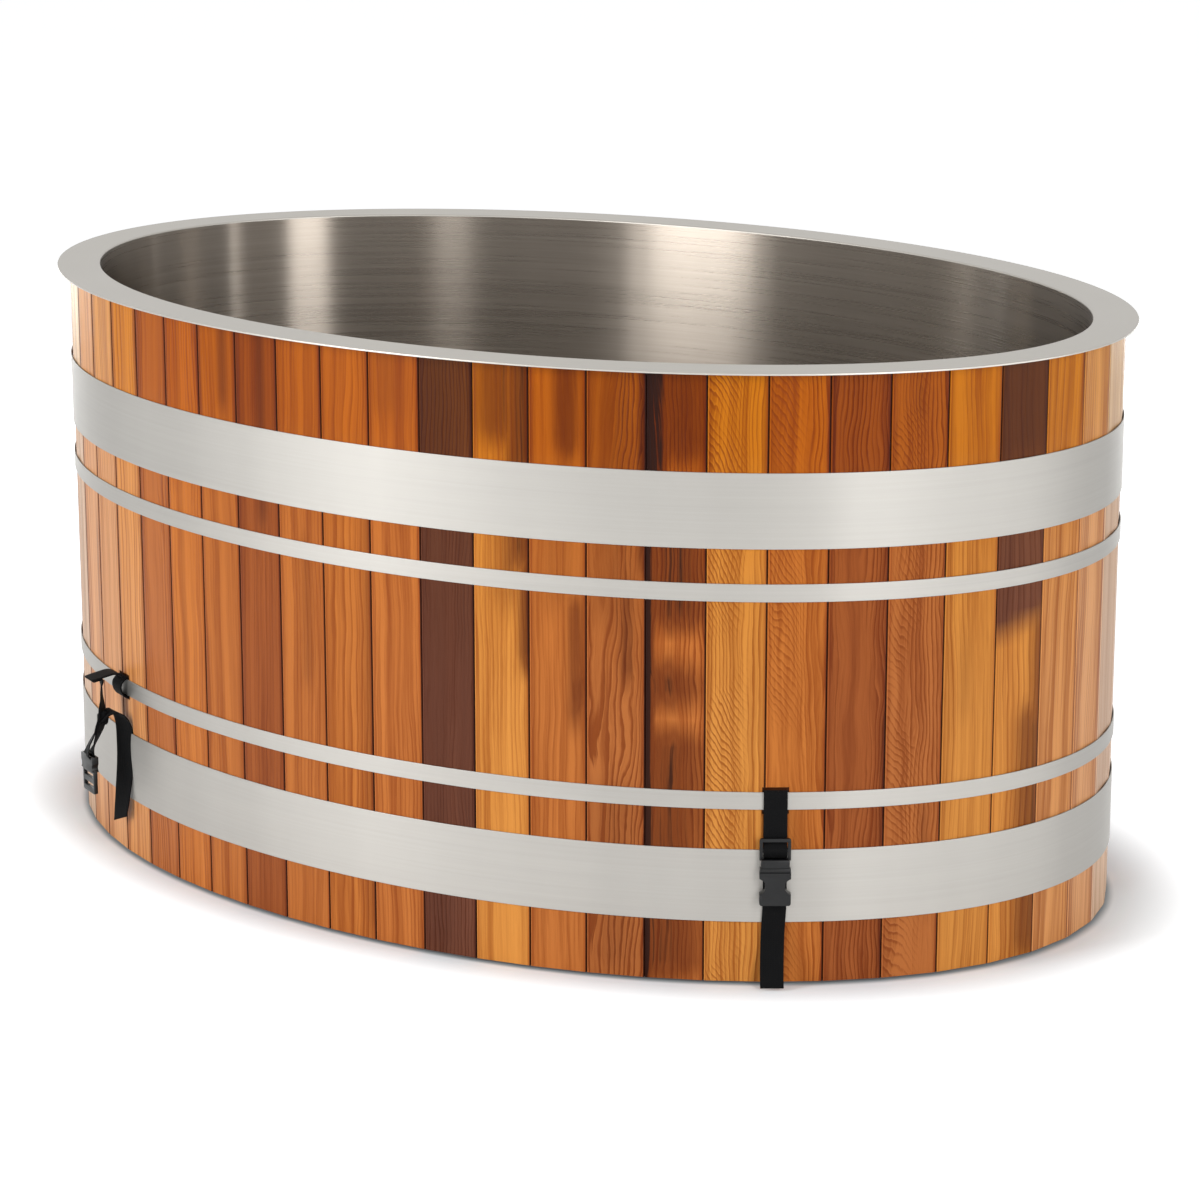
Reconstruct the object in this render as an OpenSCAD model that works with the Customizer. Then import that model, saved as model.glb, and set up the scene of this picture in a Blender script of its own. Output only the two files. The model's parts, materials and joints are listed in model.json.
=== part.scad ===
// Oval cold plunge tub: a sheet steel liner and rim in a wall of cedar staves, held by four steel hoops,
// with a floor drain and ball valve, two chiller ports and four cover tie-down straps.
// X runs along the tub, -Y is its front, and the origin is on the floor under the middle of the oval.

/* [Overall] */
// Height from the floor to the top of the rim
tub_height = 660; // [600:1:760]
// Length of the stave wall over its outside
wall_length = 1328; // [1240:1:1600]
// Width of the stave wall over its outside
wall_width = 902; // [860:1:1000]

/* [Staves] */
// Number of staves round the wall
stave_count = 56; // [52:1:60]
// Thickness of a stave
stave_thick = 19; // [16:0.5:21]
// Bevel along each outer edge of a stave
stave_bevel = 1.6; // [0.5:0.1:3]
// Gap between neighbouring staves
stave_gap = 0.4; // [0.1:0.1:1]
// Height of the stave ends above the floor
stave_lift = 3; // [1:0.5:8]
// Staves between the first joint and the middle of the front
front_lead_count = 7.27; // [7:0.01:7.9]

/* [Rim and liner] */
// How far the rim stands out past the staves
rim_overhang = 13.5; // [8:0.5:20]
// Width of the flat rim
rim_width = 50; // [48:0.5:60]
// Thickness of the rim
rim_thick = 2; // [2:0.5:6]
// Sheet thickness of the liner
liner_sheet = 2; // [1:0.5:3]
// Gap that lets one layer of the wall slide past the next
layer_gap = 0.3; // [0.1:0.1:0.6]
// Height of the ring that backs the staves under the rim
rib_height = 40; // [25:1:60]
// Number of segments welded into the rim
rim_segment_count = 14; // [8:1:28]
// Gap along a weld between two segments of the rim
weld_gap = 0.1; // [0.05:0.05:0.3]
// Number of blocks in the ring of foam and in the ring under the rim
block_count = 28; // [14:1:28]

/* [Base] */
// Thickness of the rubber foot strips
foot_thick = 3; // [2:0.5:6]
// Width of a foot strip
foot_width = 40; // [25:1:60]
// Height of a bearer
bearer_height = 47; // [46:1:60]
// Width of a bearer
bearer_width = 45; // [35:1:60]
// Distance from the middle bearer to an outer one
bearer_spacing = 215; // [150:1:215]
// Space from the end of a bearer to the staves
bearer_inset = 12; // [5:1:40]
// Thickness of the base plate
base_thick = 18; // [12:1:25]
// Thickness of the foam under the liner
floor_foam_thick = 20; // [15:1:40]
// Thickness of a base screw
screw_d = 5; // [4:0.5:6]
// Length of a base screw
screw_length = 50; // [35:1:60]
// Across the head of a base screw
screw_head_d = 9; // [8:0.5:12]
// Height of the head of a base screw
screw_head_height = 3.5; // [2:0.5:5]

/* [Hoops] */
// Height of a wide hoop
wide_hoop = 80; // [60:1:95]
// Height of a narrow hoop
narrow_hoop = 19; // [16:0.5:25]
// Sheet thickness of the hoops
hoop_thick = 1.2; // [0.8:0.1:2]
// From the top of the rim down to the upper wide hoop
upper_hoop_drop = 106; // [60:1:130]
// From the upper wide hoop down to the upper narrow hoop
upper_hoop_space = 37; // [15:1:60]
// From the floor up to the lower wide hoop
lower_hoop_height = 70; // [70:1:90]
// From the lower wide hoop up to the lower narrow hoop
lower_hoop_space = 44; // [15:1:60]
// Gap between the two ends of a hoop
hoop_seam = 24; // [15:1:40]
// How far a lug stands out from its hoop
lug_height = 20; // [16:1:30]
// Thickness of a lug
lug_thick = 4; // [3:0.5:8]
// Length of the foot that welds a lug to its hoop
lug_foot = 20; // [12:1:40]
// Thickness of a draw bolt
bolt_d = 6; // [5:0.5:7]
// Across the flats of a bolt head or nut
bolt_flats = 10; // [9:0.5:12]
// Height of a bolt head or nut
bolt_head = 5; // [3:0.5:8]
// Distance between the two bolts of a wide hoop
bolt_pitch = 44; // [30:1:54]

/* [Drain] */
// Outside of the drain pipe
pipe_d = 26.7; // [21:0.1:28]
// Bore of the drain pipe
pipe_bore = 20.9; // [15:0.1:22]
// Height of the drain pipe above the floor
pipe_z = 27; // [26:0.5:27.5]
// From the outside of the wall in to the floor drain
drain_inset = 150; // [135:1:170]
// Across the flange of the floor drain
drain_flange_d = 70; // [64:1:90]
// Thickness of the drain flange
drain_flange_thick = 3; // [2:0.5:5]
// Thickness of the flat gaskets
gasket_thick = 2; // [1:0.5:3]
// Radius of the elbow's bend
elbow_bend = 20; // [20:0.5:21]
// Wall thickness of the elbow
elbow_wall = 4; // [3:0.5:4.5]
// Across the pipe's cover ring
escutcheon_d = 46; // [42:1:48]
// Diameter of the valve's ball
ball_d = 30; // [28:0.5:30]
// Bore of the valve and its ball
valve_bore = 20; // [12:0.5:20]
// Length of the valve body
valve_length = 58; // [54:1:70]
// Length of the lever from its stem
lever_length = 82; // [60:1:100]
// Width of the lever
lever_width = 16; // [14:1:20]
// Thickness of the lever
lever_thick = 2.5; // [2:0.5:3]
// Thread diameter of the hose outlet
outlet_d = 26.4; // [22.5:0.1:28]
// Length of thread on the hose outlet
outlet_thread = 18; // [12:1:30]

/* [Chiller ports] */
// Height of the two ports
port_z = 310; // [250:1:350]
// Staves between the drain and a port
port_step = 3; // [2:1:5]
// Thread diameter of a port
port_d = 33; // [26:0.5:36]
// Bore of a port
port_bore = 24; // [16:0.5:24]
// Length of thread past the nut
port_thread = 22; // [12:1:40]
// Across the flange inside the tub
port_flange_d = 58; // [52:1:70]
// Thickness of the flange inside the tub
port_flange_thick = 4; // [3:0.5:6]
// Across the flats of the port's nut
port_nut_flats = 46; // [44:1:54]
// Height of the port's nut
port_nut = 12; // [8:1:16]

/* [Straps] */
// Distance of the right straps from the middle of the tub
strap_right = 473; // [430:1:500]
// Distance of the left straps from the middle of the tub
strap_left = 381; // [340:1:420]
// Width of the webbing
web_width = 25; // [20:1:27]
// Thickness of the webbing
web_thick = 1.4; // [1:0.1:1.8]
// Depth of the housing behind a hoop that lets a strap pass
strap_housing = 2.6; // [2.5:0.1:4]
// From the strap's fold down to the top of its buckle
buckle_drop = 50; // [35:1:60]
// Width of a buckle
buckle_width = 33; // [33:0.5:38]
// Thickness of a buckle's socket
socket_thick = 10; // [9.5:0.5:12]
// Length of a buckle's socket
socket_length = 36; // [32:1:42]
// How far the end of a strap stands out at the floor
strap_lean = 17; // [5:1:40]

/* [Motion] */
// Smallest gap between pieces that move past each other
run_gap = 0.3; // [0.2:0.05:0.5]
// Radial clearance of a stem that turns in its nut
stem_gap = 0.05; // [0.02:0.01:0.1]

/* [Hidden] */
stave_groups = ["staves_front_left", "staves_front_right", "staves_right_front", "staves_right_back",
    "staves_back_right", "staves_back_left", "staves_left_back", "staves_left_front"];

$fn = 48;
// Overlap that lets a cut pass right through
cut = 1;
// Points of an oval ring for each stave
ring_facets = 3;

// Levels, from the floor up
bearer_z = foot_thick;
base_z = bearer_z + bearer_height;
floor_foam_z = base_z + base_thick;
liner_z = floor_foam_z + floor_foam_thick;
rim_z = tub_height - rim_thick;
rib_z = rim_z - rib_height;
lower_wide_z = lower_hoop_height;
lower_narrow_z = lower_wide_z + wide_hoop + lower_hoop_space;
upper_wide_z = tub_height - upper_hoop_drop - wide_hoop;
upper_narrow_z = upper_wide_z - upper_hoop_space - narrow_hoop;

// Depths in from the outside of the wall
liner_inner = rim_width - rim_overhang;
liner_outer = liner_inner - liner_sheet;
space_outer = stave_thick + layer_gap;
space_inner = liner_outer - layer_gap;

// The wall's oval, walked along its length from the middle of the front
function oval(t) = [wall_length / 2 * cos(t), wall_width / 2 * sin(t)];
walk_steps = 720;
function walk_angle(i) = -90 + i * 360 / walk_steps;
walk = [for (i = 0, s = 0; i <= walk_steps; s = s + norm(oval(walk_angle(i + 1)) - oval(walk_angle(i))),
    i = i + 1) [s, walk_angle(i)]];
girth = walk[walk_steps][0];
stave_pitch = girth / stave_count;
function angle_along(s) = lookup(s - floor(s / girth) * girth, walk);
function joint_angle(k) = angle_along((k - front_lead_count) * stave_pitch);

// The way straight out of the wall at an angle of the oval, and a point that far in from the outside
function unit(v) = v / norm(v);
function outward(t) = unit([wall_width * cos(t), wall_length * sin(t)]);
function wall_at(t, inset) = oval(t) - outward(t) * inset;
function ring(inset) = [for (i = [0:ring_facets * stave_count - 1])
    wall_at(joint_angle(i / ring_facets), inset)];
function stave_backs(inset) = [for (k = [0:stave_count - 1]) wall_at(joint_angle(k), inset)];

// The middle of a stave's face, and the direction it faces
function face_middle(k) = (wall_at(joint_angle(k), 0) + wall_at(joint_angle(k + 1), 0)) / 2;
function face_angle(k) = let (d = wall_at(joint_angle(k + 1), 0) - wall_at(joint_angle(k), 0))
    atan2(-d[0], d[1]);
drain_stave = round(front_lead_count + stave_count / 2 - 0.5);
port_staves = [drain_stave - port_step, drain_stave + port_step];

// Straps: 1 front right, 2 front left, 3 back right, 4 back left
strap_angles = [-acos(2 * strap_right / wall_length), acos(2 * strap_left / wall_length) - 180,
    acos(2 * strap_right / wall_length), 180 - acos(2 * strap_left / wall_length)];

// Stands its children on the wall, seen from outside: x to the right, -y out, z up
module on_wall(t) {
    p = oval(t);
    n = outward(t);
    translate([p[0], p[1], 0]) rotate(atan2(n[1], n[0]) + 90) children();
}
module on_stave(k) {
    p = face_middle(k);
    translate([p[0], p[1], 0]) rotate(face_angle(k) + 90) children();
}

// Cylinder and tube whose axis runs in from the wall, from one depth to another
module inward(r, from, to) {
    translate([0, from, 0]) rotate([-90, 0, 0]) cylinder(r = r, h = to - from);
}
module inward_tube(r, bore, from, to) {
    difference() {
        inward(r, from, to);
        inward(bore, from - cut, to + cut);
    }
}
function hex_radius(flats) = flats / 2 / cos(30);
// Hexagon with its corners turned down at both ends, by how much its end circle passes the flats
turned_share = 1.04;
module hexagon(flats, z0, z1) {
    end_r = flats / 2 * turned_share;
    corner = hex_radius(flats) * turned_share;
    bevel = (corner - end_r) * tan(30);
    intersection() {
        translate([0, 0, z0 - cut]) cylinder(r = hex_radius(flats), h = z1 - z0 + 2 * cut, $fn = 6);
        rotate_extrude() polygon([[0, z0], [end_r, z0], [corner, z0 + bevel], [corner, z1 - bevel],
            [end_r, z1], [0, z1]]);
    }
}
module hex_nut(flats, bore, z0, z1) {
    difference() {
        hexagon(flats, z0, z1);
        translate([0, 0, z0 - cut]) cylinder(r = bore, h = z1 - z0 + 2 * cut);
    }
}
module slab(points, z0, z1) {
    translate([0, 0, z0]) linear_extrude(z1 - z0) polygon(points);
}
module oval_ring(outer, inner, z0, z1) {
    difference() {
        slab(ring(outer), z0, z1);
        slab(ring(inner), z0 - cut, z1 + cut);
    }
}

// Base: rubber strips, bearers, screws and plate

bearer_ys = [-bearer_spacing, 0, bearer_spacing];
function bearer_half(y) = let (edge = (abs(y) + bearer_width / 2) / (wall_width / 2 - stave_thick))
    (wall_length / 2 - stave_thick) * sqrt(1 - edge * edge) - bearer_inset;
screw_rows = [-0.8, -0.4, 0.4, 0.8];
module at_screws() {
    for (y = bearer_ys) for (share = screw_rows)
        translate([share * bearer_half(y), y, floor_foam_z]) children();
}
module screw_shape(extra) {
    translate([0, 0, -screw_head_height - extra])
        cylinder(r = screw_head_d / 2 + extra, h = screw_head_height + extra + cut);
    translate([0, 0, -screw_length]) cylinder(r = screw_d / 2 + extra, h = screw_length);
}
module bar(y, width, z0, z1) {
    translate([-bearer_half(y), y - width / 2, z0]) cube([2 * bearer_half(y), width, z1 - z0]);
}
module foot_strips() {
    color("#1b1b1c") for (y = bearer_ys) bar(y, foot_width, 0, foot_thick);
}
module bearers() {
    color("#a98458") difference() {
        for (y = bearer_ys) bar(y, bearer_width, bearer_z, base_z);
        at_screws() screw_shape(stem_gap);
    }
}
module base_screws() {
    color("silver") at_screws() intersection() {
        screw_shape(0);
        translate([0, 0, -2 * screw_length]) cylinder(r = screw_head_d, h = 2 * screw_length);
    }
}
flange_lap = 3;
drain_hole = drain_flange_d / 2 - flange_lap;
module at_drain() {
    on_stave(drain_stave) translate([0, drain_inset, 0]) children();
}
module base_plate() {
    color("#c9a36b") difference() {
        slab(stave_backs(space_outer), base_z, floor_foam_z);
        at_screws() screw_shape(stem_gap);
        at_drain() translate([0, 0, base_z - cut]) cylinder(r = drain_hole, h = base_thick + 2 * cut);
    }
}

// Foam, rib and liner

module floor_foam() {
    color("#d8d4c2") difference() {
        slab(ring(liner_outer), floor_foam_z, liner_z);
        at_drain() translate([0, 0, floor_foam_z - cut])
            cylinder(r = drain_hole, h = floor_foam_thick + 2 * cut);
    }
}
// Part of a ring between two joints of the staves, and a ring made of such blocks
function wall_span(k0, k1, inset, facets, gap) = let (last = (k1 - k0) * facets) [for (i = [0:last])
    let (t = joint_angle(k0 + i / facets), n = outward(t), side = i == 0 ? 1 : i == last ? -1 : 0)
    wall_at(t, inset) + [-n[1], n[0]] * side * gap / 2];
function reversed(list) = [for (i = [len(list) - 1:-1:0]) list[i]];
module wall_blocks(count, outer, outer_facets, inner, gap, z0, z1) {
    for (i = [0:count - 1]) {
        k0 = round(i * stave_count / count);
        k1 = round((i + 1) * stave_count / count);
        slab(concat(wall_span(k0, k1, outer, outer_facets, gap),
            reversed(wall_span(k0, k1, inner, ring_facets, gap))), z0, z1);
    }
}
module space_blocks(z0, z1) {
    wall_blocks(block_count, space_outer, 1, space_inner, stave_gap, z0, z1);
}
module at_ports() {
    for (k = port_staves) on_stave(k) translate([0, 0, port_z]) children();
}
hole_room = 2 * layer_gap;
port_hole = port_d / 2 + hole_room;
module port_drilling() {
    at_ports() inward(port_hole, -stave_thick, liner_inner + stave_thick);
}
module wall_foam() {
    color("#d8d4c2") difference() {
        space_blocks(floor_foam_z, rib_z);
        port_drilling();
    }
}
module top_rib() {
    color("#c9a36b") space_blocks(rib_z, rim_z);
}
module liner_wall() {
    color("#8f8a80") difference() {
        oval_ring(liner_outer, liner_inner, liner_z, rim_z);
        port_drilling();
    }
}
module liner_floor() {
    color("#8f8a80") difference() {
        slab(ring(liner_inner), liner_z, liner_z + liner_sheet);
        at_drain() translate([0, 0, liner_z - cut])
            cylinder(r = drain_tube_r + stem_gap, h = liner_sheet + 2 * cut);
    }
}
module rim_flange() {
    color("#bdbab3") wall_blocks(rim_segment_count, -rim_overhang, ring_facets, liner_inner, weld_gap,
        rim_z, tub_height);
}

// Staves

// One letter for each stave's tone, from the first joint round by the front, the right end and the back
tones = "SGRMMMMMRDGGMDGGMRGDGGPMGRSMGGDMRGMSGMRGPMGDRMGSMGRMGDMS";
function tone(k) = let (c = tones[k % len(tones)])
    c == "D" ? "#4b2a1d" : c == "R" ? "#8f4a24" : c == "S" ? "#c48a5e" : c == "P" ? "#cfa183"
    : c == "G" ? "#cf8a40" : "#b4692c";
function stave_outline(k) = let (
        t0 = joint_angle(k), t1 = joint_angle(k + 1), along = unit(wall_at(t1, 0) - wall_at(t0, 0)),
        half = along * stave_gap / 2, step = along * stave_bevel)
    [wall_at(t0, stave_thick) + half, wall_at(t0, stave_bevel) + half, wall_at(t0, 0) + half + step,
     wall_at(t1, 0) - half - step, wall_at(t1, stave_bevel) - half, wall_at(t1, stave_thick) - half];
housing_end = 2 * strap_housing;
module strap_housings(k) {
    for (t = strap_angles)
        if (norm(oval(t) - face_middle(k)) < stave_pitch)
            on_wall(t) translate([-web_width / 2 - stave_bevel, -cut, lower_narrow_z - housing_end])
                cube([web_width + 2 * stave_bevel, strap_housing + cut, narrow_hoop + 2 * housing_end]);
}
module stave(k) {
    difference() {
        slab(stave_outline(k), stave_lift, rim_z);
        strap_housings(k);
        if (k == drain_stave)
            on_stave(k) translate([0, 0, pipe_z]) inward(pipe_d / 2 + hole_room, -cut, stave_thick + cut);
        if (k == port_staves[0] || k == port_staves[1])
            on_stave(k) translate([0, 0, port_z]) inward(port_hole, -cut, stave_thick + cut);
    }
}
function first_stave(g) = round(g * stave_count / len(stave_groups));
module staves(g) {
    for (k = [first_stave(g):first_stave(g + 1) - 1]) color(tone(k)) stave(k);
}

// Hoops, their lugs and draw bolts

module hoop(z, height) {
    color("#cfcbc5") difference() {
        oval_ring(-stem_gap - hoop_thick, -stem_gap, z, z + height);
        translate([-hoop_seam / 2, 0, z - cut]) cube([hoop_seam, wall_width, height + 2 * cut]);
    }
}
lug_y = wall_width / 2 + stem_gap + hoop_thick;
bolt_y = lug_y + lug_height / 2 + lug_thick / 2;
// The start, height and bolt heights of each hoop
hoop_rows = [
    [upper_wide_z, wide_hoop, [-bolt_pitch / 2, bolt_pitch / 2]],
    [upper_narrow_z, narrow_hoop, [0]],
    [lower_narrow_z, narrow_hoop, [0]],
    [lower_wide_z, wide_hoop, [-bolt_pitch / 2, bolt_pitch / 2]]];
module at_bolts(row) {
    for (z = row[2]) translate([0, bolt_y, row[0] + row[1] / 2 + z]) rotate([0, 90, 0]) children();
}
module lug_pair(row) {
    difference() {
        for (side = [0, 1]) mirror([side, 0, 0]) translate([0, lug_y, row[0]]) {
            translate([hoop_seam / 2, 0, 0]) cube([lug_thick, lug_height, row[1]]);
            translate([hoop_seam / 2, 0, 0]) cube([lug_thick + lug_foot, lug_thick / 2, row[1]]);
        }
        at_bolts(row)
            cylinder(r = bolt_d / 2 + layer_gap, h = 2 * hoop_seam + 4 * lug_thick, center = true);
    }
}
module hoop_lugs() {
    color("#b9b6b0") for (row = hoop_rows) lug_pair(row);
}
bolt_seat = hoop_seam / 2 + lug_thick;
// How far a bolt's tip reaches past its lug, in nut heights
bolt_reach = 1.5;
module draw_bolts() {
    color("#9a9a98") for (row = hoop_rows) at_bolts(row) {
        hexagon(bolt_flats, -bolt_seat - bolt_head, -bolt_seat);
        translate([0, 0, -bolt_seat]) cylinder(r = bolt_d / 2, h = 2 * bolt_seat + bolt_reach * bolt_head);
    }
}
module draw_nuts() {
    color("#9a9a98") for (row = hoop_rows) at_bolts(row)
        hex_nut(bolt_flats, bolt_d / 2 + stem_gap, bolt_seat, bolt_seat + bolt_head);
}

// Floor drain, from the strainer down to the elbow

drain_tube_wall = 3;
drain_tube_r = pipe_d / 2 + drain_tube_wall;
drain_bore_r = pipe_d / 2;
drain_seat_z = liner_z + liner_sheet + gasket_thick;
drain_top_z = drain_seat_z + drain_flange_thick;
elbow_room = 1;
elbow_r = elbow_bend - elbow_room;
elbow_ledge = 2;
elbow_bore_r = drain_bore_r - elbow_ledge;
elbow_top = pipe_z + elbow_bend;
tube_bottom = elbow_top + elbow_wall / 2;
socket_depth = 9;
pipe_stop = 1;
module upright_tube(r, bore, z0, z1, sides = $fn) {
    translate([0, 0, z0]) difference() {
        cylinder(r = r, h = z1 - z0, $fn = sides);
        translate([0, 0, -cut]) cylinder(r = bore, h = z1 - z0 + 2 * cut);
    }
}
strainer_lip = 8;
strainer_r = drain_bore_r + strainer_lip;
strainer_thick = 2;
strainer_skirt = 4;
strainer_rings = [5, 10];
strainer_hole_r = 1.6;
module drain_strainer() {
    color("#b9b6b0") at_drain() difference() {
        union() {
            translate([0, 0, drain_top_z - strainer_thick + run_gap / 3])
                cylinder(r = strainer_r - run_gap, h = strainer_thick);
            upright_tube(drain_bore_r - run_gap, drain_bore_r - strainer_thick,
                drain_seat_z - strainer_skirt, drain_top_z);
        }
        for (ring_r = strainer_rings) for (i = [0:ring_r - 1])
            rotate(i * 360 / ring_r) translate([ring_r, 0, drain_seat_z])
                cylinder(r = strainer_hole_r, h = 2 * drain_flange_thick);
    }
}
module drain_flange() {
    color("#c2bfb8") at_drain() difference() {
        union() {
            translate([0, 0, drain_seat_z]) cylinder(r = drain_flange_d / 2, h = drain_flange_thick);
            translate([0, 0, tube_bottom]) cylinder(r = drain_tube_r, h = drain_seat_z - tube_bottom + cut);
        }
        translate([0, 0, tube_bottom - cut]) cylinder(r = drain_bore_r, h = drain_top_z);
        translate([0, 0, drain_top_z - strainer_thick]) cylinder(r = strainer_r, h = strainer_thick + cut);
    }
}
module drain_gasket() {
    color("#1b1b1c") at_drain()
        upright_tube(drain_flange_d / 2, drain_tube_r + stem_gap, liner_z + liner_sheet, drain_seat_z);
}
locknut_height = 10;
module drain_locknut() {
    color("#e8e6e0") at_drain() upright_tube(drain_hole - flange_lap, drain_tube_r + stem_gap,
        liner_z - locknut_height, liner_z, 6);
}
module elbow_solid(r, extra) {
    translate([0, 0, elbow_top]) cylinder(r = r, h = socket_depth + extra);
    translate([0, -elbow_bend - socket_depth - extra, pipe_z]) inward(r, 0, socket_depth + extra);
    translate([0, -elbow_bend, elbow_top]) rotate([90, 0, 90]) rotate_extrude(angle = -90)
        translate([elbow_bend, 0]) circle(r);
}
module drain_elbow() {
    color("#e8e6e0") at_drain() difference() {
        elbow_solid(elbow_r, 0);
        elbow_solid(elbow_bore_r, cut);
        translate([0, 0, tube_bottom - stem_gap])
            cylinder(r = drain_tube_r + stem_gap, h = 2 * socket_depth);
        translate([0, -elbow_bend - 2 * socket_depth, pipe_z])
            inward(pipe_d / 2 + stem_gap, 0, 2 * socket_depth - pipe_stop);
    }
}

// Drain pipe, ball valve and hose outlet, measured out from the wall

escutcheon_thick = 3;
valve_gap = 6;
valve_in = -escutcheon_thick - valve_gap;
valve_y = valve_in - valve_length / 2;
valve_out = valve_in - valve_length;
pipe_end = drain_inset - elbow_bend - pipe_stop;
valve_shell = 3.5;
socket_r = pipe_d / 2 + valve_shell;
valve_socket = 12;
thread_stop = 1;
ball_room = ball_d / 2 + 3 * stem_gap;
boss_r = 8;
boss_height = 5;
boss_top = pipe_z + ball_room + valve_shell + boss_height;
stem_r = 4;
packing_height = 6;
lever_z = boss_top + packing_height + run_gap;
lever_nut_height = 3;
nut_edge = 2;
stem_tip = 1;
module at_valve() {
    on_stave(drain_stave) translate([0, 0, pipe_z]) children();
}
module drain_pipe() {
    color("#e8e6e0") at_valve()
        inward_tube(pipe_d / 2, pipe_bore / 2, valve_in - valve_socket + thread_stop, pipe_end);
}
module drain_escutcheon() {
    color("#c2bfb8") at_valve() inward_tube(escutcheon_d / 2, pipe_d / 2 + stem_gap, -escutcheon_thick, 0);
}
module valve_body() {
    color("#c9c4b8") on_stave(drain_stave) difference() {
        union() {
            translate([0, 0, pipe_z]) {
                inward(socket_r, valve_out, valve_in);
                translate([0, valve_y, 0]) sphere(r = ball_room + valve_shell);
                for (end = [valve_out, valve_in - valve_socket])
                    rotate([-90, 0, 0]) hexagon(2 * socket_r, end, end + valve_socket);
            }
            translate([0, valve_y, pipe_z]) cylinder(r = boss_r, h = boss_top - pipe_z);
        }
        translate([0, 0, pipe_z]) {
            inward(valve_bore / 2, valve_out - cut, valve_in + cut);
            inward(pipe_d / 2 + stem_gap, valve_in - valve_socket, valve_in + cut);
            inward(outlet_d / 2 + stem_gap, valve_out - cut, valve_out + valve_socket);
            inward(seat_r, valve_y - seat_out, valve_y + seat_out);
            translate([0, valve_y, 0]) sphere(r = ball_room);
        }
        translate([0, valve_y, pipe_z]) cylinder(r = stem_r + stem_gap, h = boss_top);
    }
}
seat_inset = 1.5;
seat_r = ball_d / 2 - seat_inset;
seat_room = 0.5;
seat_out = ball_d / 2 + seat_room;
seat_thick = 4;
module valve_seats() {
    color("#f2f1ec") at_valve() difference() {
        for (side = [-1, 1]) translate([0, valve_y + side * (seat_out - seat_thick / 2), 0])
            inward(seat_r - stem_gap, -seat_thick / 2, seat_thick / 2);
        inward(valve_bore / 2, valve_out, valve_in);
        translate([0, valve_y, 0]) sphere(r = ball_room);
    }
}
ball_flat = ball_d / 2 - seat_inset;
module valve_ball() {
    color("#c2bfb8") at_valve() translate([0, valve_y, 0]) difference() {
        sphere(r = ball_d / 2);
        rotate([0, 90, 0]) cylinder(r = valve_bore / 2, h = 2 * ball_d, center = true);
        translate([-ball_d, -ball_d, ball_flat]) cube([2 * ball_d, 2 * ball_d, ball_d]);
    }
}
module valve_stem() {
    color("#9a9a98") at_valve() translate([0, valve_y, ball_flat])
        cylinder(r = stem_r, h = lever_z + lever_thick + lever_nut_height + stem_tip - pipe_z - ball_flat);
}
module packing_nut() {
    color("#9a9a98") on_stave(drain_stave) translate([0, valve_y, 0])
        hex_nut(2 * boss_r - nut_edge, stem_r + stem_gap, boss_top, boss_top + packing_height);
}
grip_share = 0.6;
grip_start = lever_length * (1 - grip_share);
lever_step = 2;
lever_blade = lever_width - lever_step;
module lever_outline(width, from, to) {
    translate([from, -width / 2]) square([to - from - width / 2, width]);
    translate([to - width / 2, 0]) circle(width / 2);
}
module at_lever() {
    on_stave(drain_stave) translate([0, valve_y, lever_z]) children();
}
module valve_lever() {
    color("#a9a9a7") at_lever() difference() {
        linear_extrude(lever_thick) {
            circle(lever_width / 2);
            lever_outline(lever_blade, 0, lever_length);
        }
        translate([0, 0, -cut]) cylinder(r = stem_r + stem_gap, h = lever_thick + 2 * cut);
    }
}
grip_wall = 1.2;
lever_nut_flats = 13.6;
module lever_grip() {
    color("#1c3f7a") at_lever() difference() {
        translate([0, 0, -grip_wall]) linear_extrude(lever_thick + 2 * grip_wall)
            lever_outline(lever_blade + 2 * grip_wall, grip_start, lever_length + grip_wall);
        translate([0, 0, -stem_gap]) linear_extrude(lever_thick + 2 * stem_gap)
            lever_outline(lever_blade + 2 * stem_gap, 0, lever_length + stem_gap);
    }
}
module lever_nut() {
    color("#9a9a98") at_lever()
        hex_nut(lever_nut_flats, stem_r + stem_gap, lever_thick, lever_thick + lever_nut_height);
}
outlet_collar = 10;
outlet_ledge = 1;
outlet_bore_r = valve_bore / 2 - outlet_ledge;
outlet_in = valve_out + valve_socket - thread_stop;
module hose_outlet() {
    color("#c2bfb8") at_valve() difference() {
        union() {
            inward(outlet_d / 2, valve_out - outlet_collar - outlet_thread, outlet_in);
            rotate([-90, 0, 0]) hexagon(2 * socket_r - nut_edge, valve_out - outlet_collar, valve_out);
        }
        inward(outlet_bore_r, valve_out - outlet_collar - outlet_thread - cut, outlet_in + cut);
    }
}

// Chiller ports, measured in from a stave's face

washer_thick = 2;
// A flat gasket touches the hollow of the liner with its edges, so it sits this much further in
liner_hollow = 0.7;
port_seat = liner_inner + liner_hollow;
port_face = port_seat + gasket_thick;
port_mouth = -washer_thick - port_nut - port_thread;
port_neck_r = port_d / 2 - layer_gap;
grille_thick = 3;
grille_room = 8;
grille_edge = 2;
grille_wall = 3;
grille_hole_r = 3;
grille_holes = 8;
module port_bodies() {
    color("#c2bfb8") at_ports() difference() {
        union() {
            inward(port_d / 2, port_mouth, port_mouth + port_thread);
            inward(port_neck_r, port_mouth, port_face + cut);
            inward(port_flange_d / 2, port_face, port_face + port_flange_thick);
        }
        inward(port_bore / 2, port_mouth - cut, port_face + 2 * port_flange_thick);
    }
}
module port_gaskets() {
    color("#1b1b1c") at_ports() inward_tube(port_flange_d / 2, port_d / 2 + stem_gap, port_seat, port_face);
}
module port_washers() {
    color("#1b1b1c") at_ports()
        inward_tube(hex_radius(port_nut_flats), port_d / 2 + stem_gap, -washer_thick, 0);
}
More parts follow.
